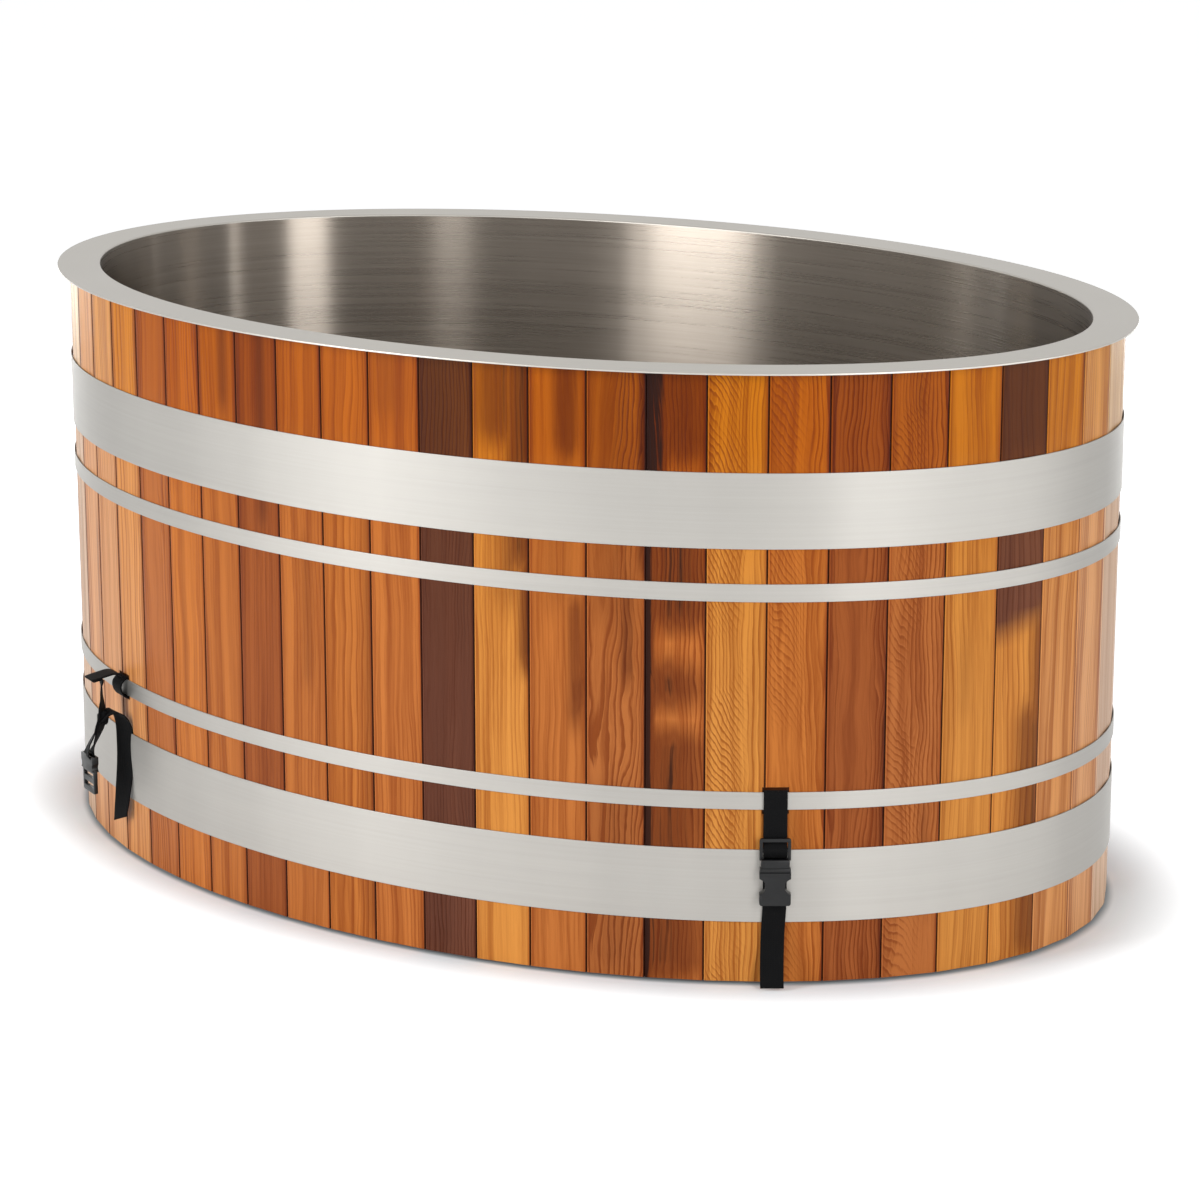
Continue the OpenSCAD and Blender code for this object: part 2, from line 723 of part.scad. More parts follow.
module port_locknuts() {
    color("#b9b6b0") at_ports() rotate([-90, 0, 0])
        hex_nut(port_nut_flats, port_d / 2 + stem_gap, -washer_thick - port_nut, -washer_thick);
}
module port_grilles() {
    back = port_face + port_flange_thick;
    face = back + grille_room;
    color("#b9b6b0") at_ports() difference() {
        inward(port_flange_d / 2 - grille_edge, back, face);
        inward(port_flange_d / 2 - grille_edge - grille_wall, back - cut, face - grille_thick);
        for (i = [0:grille_holes - 1]) rotate([0, i * 360 / grille_holes, 0])
            translate([port_bore / 2, 0, 0]) inward(grille_hole_r, back, face + cut);
        inward(grille_hole_r, back, face + cut);
    }
}

// Straps. A path's points are the distance out from the wall and the height above the floor

loop_in = stem_gap + hoop_thick + run_gap;
loop_out = loop_in + web_thick;
swing_out = loop_out + run_gap + web_thick / 2;
swing_z = lower_narrow_z + narrow_hoop + run_gap + web_thick;
function path_side(path, i) = let (
        last = len(path) - 1, before = unit(path[max(i, 1)] - path[max(i, 1) - 1]),
        after = unit(path[min(i + 1, last)] - path[min(i, last - 1)]),
        a = [-before[1], before[0]], b = [-after[1], after[0]])
    (a + b) / (1 + a * b);
function band(path, thick) = concat(
    [for (i = [0:len(path) - 1]) path[i] + path_side(path, i) * thick / 2],
    [for (i = [len(path) - 1:-1:0]) path[i] - path_side(path, i) * thick / 2]);
module webbing(path, thick = web_thick, width = web_width) {
    translate([-width / 2, 0, 0]) rotate([90, 0, 90]) mirror([1, 0]) linear_extrude(width)
        polygon(band(path, thick));
}
module block(width, out0, out1, z0, z1) {
    translate([-width / 2, -out1, z0]) cube([width, out1 - out0, z1 - z0]);
}
// Rounded head of a swinging strap, centred on its hinge line
module strap_head() {
    translate([-web_width / 2, -swing_out, swing_z]) rotate([0, 90, 0])
        cylinder(r = web_thick / 2, h = web_width);
}
module strap_loops() {
    back = -run_gap;
    bottom = lower_narrow_z - run_gap;
    top = lower_narrow_z + narrow_hoop + run_gap;
    color("#161616") for (t = strap_angles) on_wall(t) difference() {
        block(web_width, back - web_thick, loop_out, bottom - web_thick, swing_z);
        block(web_width + 2 * cut, back, loop_in, bottom, top);
    }
}

// Hanging strap with its side-release buckle
plug_top = swing_z - buckle_drop;
bar_height = 4;
slot_height = 7;
plug_back = swing_out + web_thick / 2 + run_gap;
plug_thick = 4;
rail = 3.4;
plug_front = plug_back + plug_thick;
plug_body_top = plug_top - 2 * bar_height - 2 * slot_height;
plug_body = 14;
socket_top = plug_body_top - plug_body;
socket_bottom = socket_top - socket_length;
socket_travel = 32;
web_front = plug_front + run_gap + web_thick / 2;
floor_gap = 2;
socket_wall = 2;
cavity_width = 22;
cavity_depth = 28;
arm_width = 4;
arm_end = 2;
arm_root = 1;
shoulder = 3;
shoulder_step = 1;
slot_pitch = bar_height + slot_height;
arm_thick = socket_thick - 2 * socket_wall - 2 * run_gap;
mid = plug_back + socket_thick / 2;
module hanging_web() {
    slot1 = plug_top - bar_height;
    slot2 = slot1 - slot_height - bar_height;
    bend = socket_bottom - socket_travel;
    color("#161616") {
        strap_head();
        webbing([[swing_out, swing_z], [swing_out, slot1], [web_front, slot1 - slot_height],
            [web_front, slot2], [swing_out, slot2 - slot_height], [swing_out, bend],
            [swing_out + strap_lean / 3, bend / 2], [swing_out + strap_lean, floor_gap]]);
    }
}
module buckle_arm(length) {
    block(arm_width, mid - arm_thick / 2, mid + arm_thick / 2, socket_top - length, socket_top + arm_root);
}
module buckle_plug() {
    color("#1d1d1e") {
        difference() {
            block(buckle_width, plug_back, plug_front, plug_body_top, plug_top);
            for (z = [plug_top - slot_pitch, plug_top - 2 * slot_pitch])
                block(buckle_width - 2 * rail, plug_back - cut, plug_front + cut, z, z + slot_height);
        }
        block(buckle_width - shoulder, plug_back, plug_back + socket_thick - shoulder_step,
            socket_top + run_gap, plug_body_top);
        for (x = [-1, 1]) translate([x * (cavity_width / 2 - run_gap - arm_width / 2), 0, 0])
            buckle_arm(cavity_depth - arm_end);
        buckle_arm(cavity_depth / 2);
    }
}
waist_r = 9;
waist_share = 0.42;
waist_bite = 1;
module buckle_socket() {
    waist_x = cavity_width / 2 + waist_r - waist_bite;
    color("#1d1d1e") difference() {
        block(buckle_width, plug_back, plug_back + socket_thick, socket_bottom, socket_top);
        for (x = [-waist_x, waist_x]) translate([x, 0, socket_top - socket_length * waist_share])
            inward(waist_r, -plug_back - socket_thick - cut, cut);
        block(cavity_width, mid - arm_thick / 2 - run_gap, mid + arm_thick / 2 + run_gap,
            socket_top - cavity_depth, socket_top + cut);
    }
}

// Strap 2 hangs open: a stiff flap stands out, a twisted length drops to a knot, and from that hang
// the tail and the buckle's socket
flap_out = 46;
flap_lift = 3;
flap_z = swing_z + flap_lift;
flap_rise = 1;
flap_root = 8;
drop_out = 27;
knot_z = 160;
knot_height = 20;
tail_side = 4.5;
tail_lift = 4;
tail_fall = 10;
tail_drop = 24;
tail_bulge = 80;
tail_end = 40;
tail_lean = 8;
sling_out = 2;
sling_z = 10;
sling_stop = 1;
open_socket_out = 45;
open_socket_top = 128;
open_socket_length = 46;
open_body_thick = 8;
open_plate_thick = 4.6;
open_plate_length = 27;
open_socket_slots = [7, 20];
open_slot_height = 5;
open_slot_room = 1;
web_twist = 30;
module open_web() {
    color("#161616") {
        strap_head();
        webbing([[swing_out, swing_z], [swing_out + flap_root, flap_z + flap_rise],
            [flap_out, flap_z - flap_rise]], 2 * web_thick);
        translate([0, -drop_out, 0]) rotate(-web_twist) {
            block(web_width, -web_thick, web_thick, knot_z, flap_z);
            block(web_width, -2 * web_thick, 2 * web_thick, knot_z, knot_z + knot_height);
        }
        translate([tail_side, 0, 0]) webbing([[drop_out - tail_lift, knot_z + tail_lift],
            [drop_out - tail_fall, knot_z + knot_height - tail_lift],
            [swing_out + tail_lift, knot_z + tail_lift], [swing_out, knot_z - tail_drop],
            [swing_out + tail_lift, tail_bulge], [swing_out + tail_lean, tail_end]]);
        webbing([[drop_out + sling_out, knot_z + sling_z], [drop_out + 2 * sling_out, knot_z - sling_out],
            [open_socket_out, open_socket_top - bar_height + sling_stop]]);
    }
}
module open_socket() {
    z1 = open_socket_top;
    z0 = z1 - open_socket_length;
    plate = open_plate_thick / 2;
    half = open_body_thick / 2;
    slot_width = web_width + open_slot_room;
    color("#1d1d1e") translate([0, -open_socket_out, 0]) difference() {
        union() {
            block(buckle_width, -plate, plate, z0, z0 + open_plate_length + cut);
            block(buckle_width, -half, half, z0 + open_plate_length, z1);
        }
        block(slot_width, -half - cut, web_thick / 2 + run_gap, z1 - bar_height, z1 + cut);
        for (z = open_socket_slots)
            block(slot_width, -half - cut, half + cut, z0 + z, z0 + z + open_slot_height);
    }
}

foot_strips();
bearers();
base_screws();
base_plate();
floor_foam();
wall_foam();
top_rib();
liner_wall();
liner_floor();
rim_flange();
for (g = [0:len(stave_groups) - 1])
    staves(g);
hoop(upper_wide_z, wide_hoop);  // hoop_upper_wide
hoop(upper_narrow_z, narrow_hoop);  // hoop_upper_narrow
hoop(lower_narrow_z, narrow_hoop);  // hoop_lower_narrow
hoop(lower_wide_z, wide_hoop);  // hoop_lower_wide
hoop_lugs();
draw_bolts();
draw_nuts();
drain_strainer();
drain_flange();
drain_gasket();
drain_locknut();
drain_elbow();
drain_pipe();
drain_escutcheon();
valve_body();
valve_seats();
valve_ball();
valve_stem();
packing_nut();
valve_lever();
lever_grip();
lever_nut();
hose_outlet();
port_grilles();
port_gaskets();
port_bodies();
port_washers();
port_locknuts();
strap_loops();
on_wall(strap_angles[0]) hanging_web();  // strap_1_webbing
on_wall(strap_angles[0]) buckle_plug();  // buckle_1_plug
on_wall(strap_angles[0]) buckle_socket();  // buckle_1_socket
on_wall(strap_angles[1]) open_web();  // strap_2_webbing
on_wall(strap_angles[1]) open_socket();  // buckle_2_socket
on_wall(strap_angles[2]) hanging_web();  // strap_3_webbing
on_wall(strap_angles[2]) buckle_plug();  // buckle_3_plug
on_wall(strap_angles[2]) buckle_socket();  // buckle_3_socket
on_wall(strap_angles[3]) hanging_web();  // strap_4_webbing
on_wall(strap_angles[3]) buckle_plug();  // buckle_4_plug
on_wall(strap_angles[3]) buckle_socket();  // buckle_4_socket
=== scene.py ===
# Oval cold plunge tub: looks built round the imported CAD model, in metres
import json
import math
import random

import bpy
import numpy as np
from mathutils import Matrix, Vector


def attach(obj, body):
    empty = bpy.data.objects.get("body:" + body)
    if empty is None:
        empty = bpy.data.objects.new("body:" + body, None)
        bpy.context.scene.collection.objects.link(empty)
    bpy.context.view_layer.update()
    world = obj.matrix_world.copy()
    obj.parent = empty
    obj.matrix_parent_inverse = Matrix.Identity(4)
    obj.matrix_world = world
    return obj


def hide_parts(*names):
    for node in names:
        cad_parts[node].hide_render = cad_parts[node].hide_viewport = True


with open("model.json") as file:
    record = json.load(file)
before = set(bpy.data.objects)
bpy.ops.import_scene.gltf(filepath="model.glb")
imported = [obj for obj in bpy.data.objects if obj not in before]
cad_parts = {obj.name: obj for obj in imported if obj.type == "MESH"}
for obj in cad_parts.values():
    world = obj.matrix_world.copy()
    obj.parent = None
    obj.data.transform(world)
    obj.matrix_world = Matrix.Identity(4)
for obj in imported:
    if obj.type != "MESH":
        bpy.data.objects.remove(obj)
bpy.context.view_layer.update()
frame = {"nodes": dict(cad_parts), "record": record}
nodes = frame["nodes"]

# Camera

camera = {"place": (2.4793, -3.5552, 1.4170), "aim": (0.1263, -0.1362, 0.330), "lens": 114.58}
bpy.ops.object.select_all(action="DESELECT")
aim = Vector(camera["aim"]) - Vector(camera["place"])
bpy.ops.object.camera_add(location=camera["place"], rotation=aim.to_track_quat("-Z", "Y").to_euler())
view = bpy.context.object
view.data.lens = camera["lens"]
view.data.sensor_width = 36
view.data.clip_end = 50
bpy.context.scene.camera = view
bpy.context.scene.view_settings.view_transform = "Standard"
print("camera is set")


# Shader maths

class Wire:
    def __init__(self, tree, socket=None):
        self.tree = tree
        self.socket = socket

    def node(self, kind, settings=None, inputs=None, output=0):
        new = self.tree.nodes.new("ShaderNode" + kind)
        for key, value in (settings or {}).items():
            setattr(new, key, value)
        for key, value in (inputs or {}).items():
            if isinstance(value, Wire):
                self.tree.links.new(value.socket, new.inputs[key])
            else:
                new.inputs[key].default_value = value
        return Wire(self.tree, new.outputs[output])

    def math(self, operation, other=0.0):
        return self.node("Math", {"operation": operation}, {0: self, 1: other})

    def __add__(self, other):
        return self.math("ADD", other)

    def __radd__(self, other):
        return self.math("ADD", other)

    def __sub__(self, other):
        return self.math("SUBTRACT", other)

    def __rsub__(self, other):
        return self.node("Math", {"operation": "SUBTRACT"}, {0: other, 1: self})

    def __mul__(self, other):
        return self.math("MULTIPLY", other)

    def __rmul__(self, other):
        return self.math("MULTIPLY", other)

    def __truediv__(self, other):
        return self.math("DIVIDE", other)

    def __pow__(self, other):
        return self.math("POWER", other)

    def between(self, low, high):  # 0 below low, 1 above high, smooth from one to the other
        return self.node("MapRange", {"interpolation_type": "SMOOTHSTEP"},
                         {"Value": self, "From Min": low, "From Max": high})

    def mix(self, factor, first, second, blend="MIX"):
        return self.node("Mix", {"data_type": "RGBA", "blend_type": blend},
                         {0: factor, 6: first, 7: second}, 2)

    def times(self, first, second):  # one colour multiplied by another
        return self.mix(1.0, first, second, "MULTIPLY")

    def noise(self, where, scale, detail=2.0, rough=0.5):  # three scales stretch the pattern
        if isinstance(scale, tuple):
            where = self.node("Mapping", {"vector_type": "POINT"}, {"Vector": where, "Scale": scale})
            scale = 1.0
        return self.node("TexNoise", {"noise_dimensions": "3D"},
                         {"Vector": where, "Scale": scale, "Detail": detail, "Roughness": rough})

    def place(self):
        return self.node("TexCoord", {}, {}, "Object")

    def attribute(self, name, output="Vector"):
        return self.node("Attribute", {"attribute_name": name}, {}, output)

    def part(self, axis):
        return self.node("SeparateXYZ", {}, {0: self}, "XYZ".index(axis))


def colour(text):  # a hex colour as linear light
    parts = [int(text[i:i + 2], 16) / 255 for i in (1, 3, 5)]
    return tuple(c / 12.92 if c <= 0.04045 else ((c + 0.055) / 1.055) ** 2.4 for c in parts)


def solid(text):
    return colour(text) + (1,)


def newFinish(name, **fixed):
    material = bpy.data.materials.new(name)
    material.use_nodes = True
    shader = material.node_tree.nodes["Principled BSDF"]
    for socket, value in fixed.items():
        shader.inputs[socket.replace("_", " ")].default_value = value
    return material, shader, Wire(material.node_tree)


def feed(shader, **wires):
    for socket, wire in wires.items():
        wire.tree.links.new(wire.socket, shader.inputs[socket.replace("_", " ")])


def bumped(wire, height, depth, strength=1.0):
    return wire.node("Bump", {}, {"Height": height, "Distance": depth, "Strength": strength})


# The wall's oval

wall = {"halfLength": 0.664, "halfWidth": 0.451, "staves": 56, "lead": 7.27, "steps": 720}


def ovalShare(place):  # shader wire: 1 on the oval, less inside it
    return ((place.part("X") / wall["halfLength"]) ** 2.0 + (place.part("Y") / wall["halfWidth"]) ** 2.0) ** 0.5


def ovalPoint(angle):
    return Vector((wall["halfLength"] * math.cos(angle), wall["halfWidth"] * math.sin(angle), 0))


def outwardAt(angle):
    return Vector((wall["halfWidth"] * math.cos(angle), wall["halfLength"] * math.sin(angle), 0)).normalized()


def wallAt(angle, inset, z=0.0):
    return ovalPoint(angle) - outwardAt(angle) * inset + Vector((0, 0, z))


walkAngles = [math.radians(-90 + i * 360 / wall["steps"]) for i in range(wall["steps"] + 1)]
walkLengths = [0.0]
for first, second in zip(walkAngles, walkAngles[1:]):
    walkLengths.append(walkLengths[-1] + (ovalPoint(second) - ovalPoint(first)).length)
girth = walkLengths[-1]
pitch = girth / wall["staves"]


def jointAngle(k):
    return float(np.interp(((k - wall["lead"]) * pitch) % girth, walkLengths, walkAngles))


def wallFrame(angle):  # x to the right seen from outside, y out of the wall, z up
    out = outwardAt(angle)
    right = Vector((-out.y, out.x, 0))
    return Matrix((right, out, Vector((0, 0, 1)))).transposed().to_4x4(), ovalPoint(angle)


def onWall(angle, x, out, z):
    turn, foot = wallFrame(angle)
    return foot + turn @ Vector((x, out, z))


def staveFace(k, inset=0.0):  # the joints on both sides of a stave, this deep in the wall
    return [wallAt(jointAngle(joint), inset) for joint in (k, k + 1)]


# Finishes

# Brushed steel: fine streaks round the tub, soft clouds of handling, shallow dents, satin sheen
brushing = {"along": 2.4, "rimAlong": 3.0, "streaks": 300.0, "clouds": (2.2, 2.2, 7.0),
            "dents": (9.0, 9.0, 0.4), "dentDepth": 12.0, "depth": 0.00005, "flat": 0.7}
steels = {  # colour, roughness, how much it is brushed one way, streak and cloud contrast, dents
    "rimSteel": ("#b3afa8", 0.44, 0.35, 0.12, 0.06, 0.2),
    "linerSteel": ("#9d948a", 0.28, 1.0, 0.42, 0.24, 1.0),
    "hoopSteel": ("#a4a19c", 0.58, 0.38, 0.26, 0.16, 0.8)}


def steelFinish(name):
    base, rough, brushed, streak, cloud, dents = steels[name]
    material, shader, w = newFinish(name, Metallic=1.0, Anisotropic=brushed, Anisotropic_Rotation=0.25)
    place = w.place()
    if name == "rimSteel":  # streaks follow the flat rim round
        along, across = brushing["rimAlong"], ovalShare(place)
    else:  # streaks run round the walls only
        upward = w.node("NewGeometry", {}, {}, "Normal").part("Z").math("ABSOLUTE")
        along, across = brushing["along"], place.part("Z") * upward.math("LESS_THAN", brushing["flat"])
    lay = w.node("CombineXYZ", {}, {0: place.part("X") * along, 1: place.part("Y") * along,
                                    2: across * brushing["streaks"]})
    lines = w.noise(lay, 1.0, 5.0, 0.7) - 0.5
    clouds = w.noise(place, brushing["clouds"]) - 0.5
    upright = w.noise(place, brushing["dents"])
    shade = 1.0 + lines * streak + clouds * cloud + (upright - 0.5) * cloud
    tint = w.node("VectorMath", {"operation": "SCALE"}, {0: colour(base), "Scale": shade})
    feed(shader, Base_Color=tint, Roughness=rough + lines * 0.14 + clouds * 0.08,
         Normal=bumped(w, lines * 0.4 + upright * (brushing["dentDepth"] * dents), brushing["depth"]))
    return material


# Oiled cedar: growth rings cut by each board at its own slant, curl across some boards, long soft streaks,
# fibres, and dark heartwood
cedarLook = {
    "wander": (7.0, 7.0, 2.0), "ripple": (32.0, 32.0, 11.0), "wobble": (150.0, 150.0, 34.0),  # waves a metre
    "broad": (80.0, 80.0, 1.3), "thin": (340.0, 340.0, 3.2), "fibre": (1300.0, 1300.0, 16.0),
    "patches": (24.0, 24.0, 2.2), "curlPatches": (20.0, 20.0, 9.0),
    "rings": 230.0, "curls": 180.0, "curlSlant": (0.83, 0.56),  # lines a metre, and the way curl leans
    "light": (1.17, 1.15, 1.09, 1), "deep": (0.64, 0.46, 0.33, 1),  # what the board's own tone is multiplied by
    "smoke": (0.34, 0.24, 0.22, 1), "edge": (0.46, 0.30, 0.22, 1), "halo": (0.66, 0.36, 0.22, 1),
    # arrisHighlight lightens the tone as a painted highlight on each left arris; joint is the colour of painted
    # shade in the joints
    "arrisHighlight": (1.5, 1.5, 1.5, 1), "char": "#190a07", "joint": "#240b06", "depth": 0.0004}


def grainLines(turns):  # thin dark late wood with a pale edge behind it, the pale edge partly early wood and partly a painted highlight of raised grain
    saw = turns.math("FRACT")
    return saw.between(0.50, 0.86) * (1.0 - saw.between(0.90, 1.0)), 1.0 - saw.between(0.02, 0.26)


def cedarFinish():
    look = cedarLook
    material, shader, w = newFinish("cedar", Specular_IOR_Level=0.09)
    grain, marks, spot = (w.attribute(name) for name in ("grain", "marks", "place"))
    # the tone attribute holds the board's own tone times painted shade by height
    tone, figure = w.attribute("tone", "Color"), w.attribute("tone", "Alpha")
    stain, curl = marks.part("X"), marks.part("Y")
    share, inward, height = (spot.part(axis) for axis in "XYZ")
    wander = w.noise(grain, look["wander"]) - 0.5
    ripple = w.noise(grain, look["ripple"], 1.0) - 0.5
    wobble = w.noise(grain, look["wobble"]) - 0.5
    across = (grain.part("X") + wander * (0.018 + figure * 0.020) + ripple * (0.003 + figure * 0.019)
              + wobble * (0.001 + figure * 0.0022))
    depth = grain.part("Y") + wander * 0.012
    lay = w.node("CombineXYZ", {}, {0: across, 1: depth, 2: grain.part("Z")})
    broad = w.noise(lay, look["broad"], 2.0, 0.55)
    thin = w.noise(lay, look["thin"], 3.0, 0.6)
    fibre = w.noise(lay, look["fibre"], 2.0, 0.6)

    ring, ringHighlight = grainLines(((across * across + depth * depth) ** 0.5) * look["rings"] + thin * 0.6)
    patchy = w.noise(grain, look["patches"]).between(0.34, 0.60)
    sideways, upwards = look["curlSlant"]
    slanted = (grain.part("X") * sideways + grain.part("Z") * upwards) * look["curls"]
    wave, waveHighlight = grainLines(slanted + wander * 10.0 + ripple * 4.0 + wobble * 0.9)
    curledPatches = w.noise(grain, look["curlPatches"], 1.0).between(0.36, 0.56)
    curled = curl * (1.0 - share.between(-0.35, 0.55)) * curledPatches
    rest = 1.0 - curled * 0.7
    marked = ring * patchy * (0.15 + figure * 0.75) * rest + wave * curled * 0.75
    # painted highlight: a pale edge behind each ring and curl line, partly early wood
    grainHighlight = ringHighlight * patchy * (0.02 + figure * 0.28) * rest + waveHighlight * curled * 0.32
    deepness = (0.36 + (0.5 - broad) * 1.7 + (0.5 - thin) * 0.9 + (0.5 - fibre) * 0.5
                + marked - grainHighlight).between(0.0, 1.0)
    board = w.mix(deepness, w.times(tone, look["light"]), w.times(tone, look["deep"]))
    smoke = stain * (1.25 + (broad - 0.5) * 1.6 + (thin - 0.5) * 1.9)
    board = w.mix(smoke.between(0.0, 0.9) * 0.88, board, w.times(board, look["smoke"]))
    board = w.mix(smoke.between(0.95, 1.60) * 0.9, board, solid(look["char"]))
    # the boards' edges are darker, and darker still near the rim as painted shade under it; painted shade also
    # darkens the sides down in the joints
    edging = share.math("ABSOLUTE")
    board = w.mix(edging.between(0.70, 1.0) * (0.26 + height.between(0.50, 0.57) * 0.40), board,
                  w.times(board, look["edge"]))
    board = w.mix(edging.between(0.84, 0.95) * 0.45, board, w.times(board, look["halo"]))
    leftward = share * -1.0  # painted highlight on the left arris, painted shade in a dark groove on the right
    arrisHighlight = leftward.between(0.925, 0.955) * (1.0 - leftward.between(0.975, 0.995))
    board = w.mix(arrisHighlight * 0.55 * (1.0 - smoke.between(0.2, 0.8)), board, w.times(tone, look["arrisHighlight"]))
    # painted shade: the right arris and the sides down in the gap take the dark joint colour
    grooveShade = share.between(0.940, 0.965).math("MAXIMUM", inward.between(0.0003, 0.0012)) * 0.92
    board = w.mix(grooveShade, board, solid(look["joint"]))
    feed(shader, Base_Color=board, Roughness=0.38 + 0.14 * marked + (fibre - 0.5) * 0.12,
         Normal=bumped(w, (thin * 0.4 + fibre * 0.3) - marked * 1.5, look["depth"], 0.8))
    return material


# Black webbing, woven along its own length
weave = {"acrossRibs": 2400.0, "alongRibs": 3100.0, "wear": 60.0, "low": "#020202", "high": "#09090a",
         "worn": "#111113", "depth": 0.0003}


def webbingFinish():
    material, shader, w = newFinish("webbing", Sheen_Weight=0.02, Sheen_Roughness=0.5, Specular_IOR_Level=0.08)
    uv = w.node("UVMap", {"uv_map": "weave"})
    rib = (uv.part("X") * weave["acrossRibs"]).math("SINE")
    cell = rib * (uv.part("Y") * weave["alongRibs"]).math("SINE")
    worn = w.noise(w.place(), weave["wear"], 3.0)
    height = 0.5 + 0.35 * cell + 0.15 * rib
    base = w.mix(height, solid(weave["low"]), solid(weave["high"]))
    feed(shader, Base_Color=w.mix(worn * 0.3, base, solid(weave["worn"])), Roughness=0.66 + 0.2 * worn,
         Normal=bumped(w, height, weave["depth"], 0.8))
    return material


# Moulded, cast and turned surfaces: fine skin, soft drift of tone and gloss
def plasticFinish(name, base, rough, grainDepth=0.00005, metal=0.0, drift=0.12, scale=90.0, shine=0.5):
    material, shader, w = newFinish(name, Metallic=metal, Specular_IOR_Level=shine)
    skin = w.noise(w.place(), scale * 12)
    cloud = w.noise(w.place(), scale, 3.0)
    dark, pale = (tuple(min(1, c * (1 + change)) for c in colour(base)) + (1,) for change in (-drift, drift))
    feed(shader, Base_Color=w.mix(cloud, dark, pale), Roughness=rough + (cloud - 0.5) * 0.16,
         Normal=bumped(w, skin + cloud * 0.5, grainDepth))
    return material


woodGrain = {"across": 60.0, "along": 3.0, "rings": 0.35, "bands": 9.0, "depth": 0.0004}


def plainWood(name, light, dark):  # boards and plywood, with their grain along the tub
    material, shader, w = newFinish(name)
    run = (woodGrain["along"], woodGrain["across"], woodGrain["across"])
    lines = w.noise(w.place(), run, 5.0, 0.6)
    rings = w.noise(w.place(), tuple(step * woodGrain["rings"] for step in run))
    saw = (rings * woodGrain["bands"]).math("FRACT")
    feed(shader, Base_Color=w.mix(saw * 0.5 + lines * 0.5, solid(light), solid(dark)),
         Roughness=0.62 + 0.2 * lines, Normal=bumped(w, lines, woodGrain["depth"]))
    return material


finishes = {
    "bearer_wood": plainWood("bearerWood", "#c29b66", "#94683a"),
    "plywood": plainWood("plywood", "#d4b27c", "#b88d56"),
    "foam": plasticFinish("foam", "#d9d4c0", 0.85, 0.0006, drift=0.08, scale=40.0),
    "rubber": plasticFinish("rubber", "#1a1a1b", 0.72, 0.0002),
    "rim_steel": steelFinish("rimSteel"),
    "liner_steel": steelFinish("linerSteel"),
    "hoop_steel": steelFinish("hoopSteel"),
    "cedar": cedarFinish(),
    "fastener_steel": plasticFinish("fastenerSteel", "#b4b2ac", 0.30, 0.00003, metal=1.0, drift=0.08),
    "fitting_steel": plasticFinish("fittingSteel", "#bfbcb5", 0.24, 0.00003, metal=1.0, drift=0.06),
    "valve_nickel": plasticFinish("valveNickel", "#c9c2b2", 0.33, 0.00012, metal=1.0, drift=0.08),
    "pipe_plastic": plasticFinish("pipePlastic", "#e4e2dc", 0.38, 0.00004, drift=0.04),
    "seat_plastic": plasticFinish("seatPlastic", "#f0efe9", 0.42, 0.00003, drift=0.03),
    "grip_vinyl": plasticFinish("gripVinyl", "#1c3f7a", 0.46, 0.00012, drift=0.12),
    "webbing": webbingFinish(),
    "buckle_plastic": plasticFinish("bucklePlastic", "#040405", 0.36, 0.00004, drift=0.2, shine=0.32),
}
for part in frame["record"]["subparts"]:
    slots = nodes[part["node"]].data.materials
    slots.clear()
    slots.append(finishes[part["material_slot"]])
print("finishes are made:", len(finishes))


# Tools for pieces

tolerance = 0.0001  # points closer than this are at the same place


def clearSelection():
    bpy.ops.object.select_all(action="DESELECT")


def pick(*pieces):
    clearSelection()
    for piece in pieces:
        piece.select_set(True)
    bpy.context.view_layer.objects.active = pieces[0]


def settle(piece):  # place, turn and size go into the mesh
    pick(piece)
    bpy.ops.object.transform_apply(location=True, rotation=True, scale=True)


def modify(piece, kind, **settings):
    pick(piece)
    modifier = piece.modifiers.new(kind.lower(), kind)
    for key, value in settings.items():
        setattr(modifier, key, value)
    bpy.ops.object.modifier_apply(modifier=modifier.name)


def editMode(piece, mode="FACE", everything=True):
    pick(piece)
    bpy.ops.object.mode_set(mode="EDIT")
    bpy.ops.mesh.select_mode(type=mode)
    bpy.ops.mesh.select_all(action="SELECT" if everything else "DESELECT")


def objectMode():
    bpy.ops.object.mode_set(mode="OBJECT")


def selectEdges(piece, test):  # from object mode: picks edges by their two ends
    editMode(piece, "EDGE", False)
    objectMode()
    points = [v.co.copy() for v in piece.data.vertices]
    for edge in piece.data.edges:
        edge.select = test(points[edge.vertices[0]], points[edge.vertices[1]])
    bpy.ops.object.mode_set(mode="EDIT")


def outwardNormals(piece):
    editMode(piece)
    bpy.ops.mesh.remove_doubles(threshold=0.000005)
    bpy.ops.mesh.normals_make_consistent(inside=False)
    objectMode()


def smooth(piece, angle=35):
    pick(piece)
    bpy.ops.object.shade_smooth_by_angle(angle=math.radians(angle))


def joined(name, pieces):
    pick(*pieces)
    if len(pieces) > 1:
        bpy.ops.object.join()
    piece = bpy.context.object
    piece.name = name
    piece.data.name = name
    return piece


def dress(piece, body, slotName, *replaced):  # finish, moving body and the CAD nodes it stands for
    piece.data.materials.clear()
    piece.data.materials.append(finishes[slotName])
    for polygon in piece.data.polygons:
        polygon.material_index = 0
    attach(piece, body)
    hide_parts(*replaced)


def soften(piece, edge, segments=3, limit=30):  # the width of the rounding is in millimetres
    modify(piece, "BEVEL", width=edge / 1000, segments=segments, limit_method="ANGLE",
           angle_limit=math.radians(limit))


def slab(width, outs, levels, side=0.0, edge=0.0):  # in millimetres, and toStrap takes it to its place
    clearSelection()
    bpy.ops.mesh.primitive_cube_add(
        size=1, location=(side / 1000, -sum(outs) / 2000, sum(levels) / 2000),
        scale=(width / 1000, (outs[1] - outs[0]) / 1000, (levels[1] - levels[0]) / 1000))
    block = bpy.context.object
    settle(block)
    if edge:
        soften(block, edge)
    return block


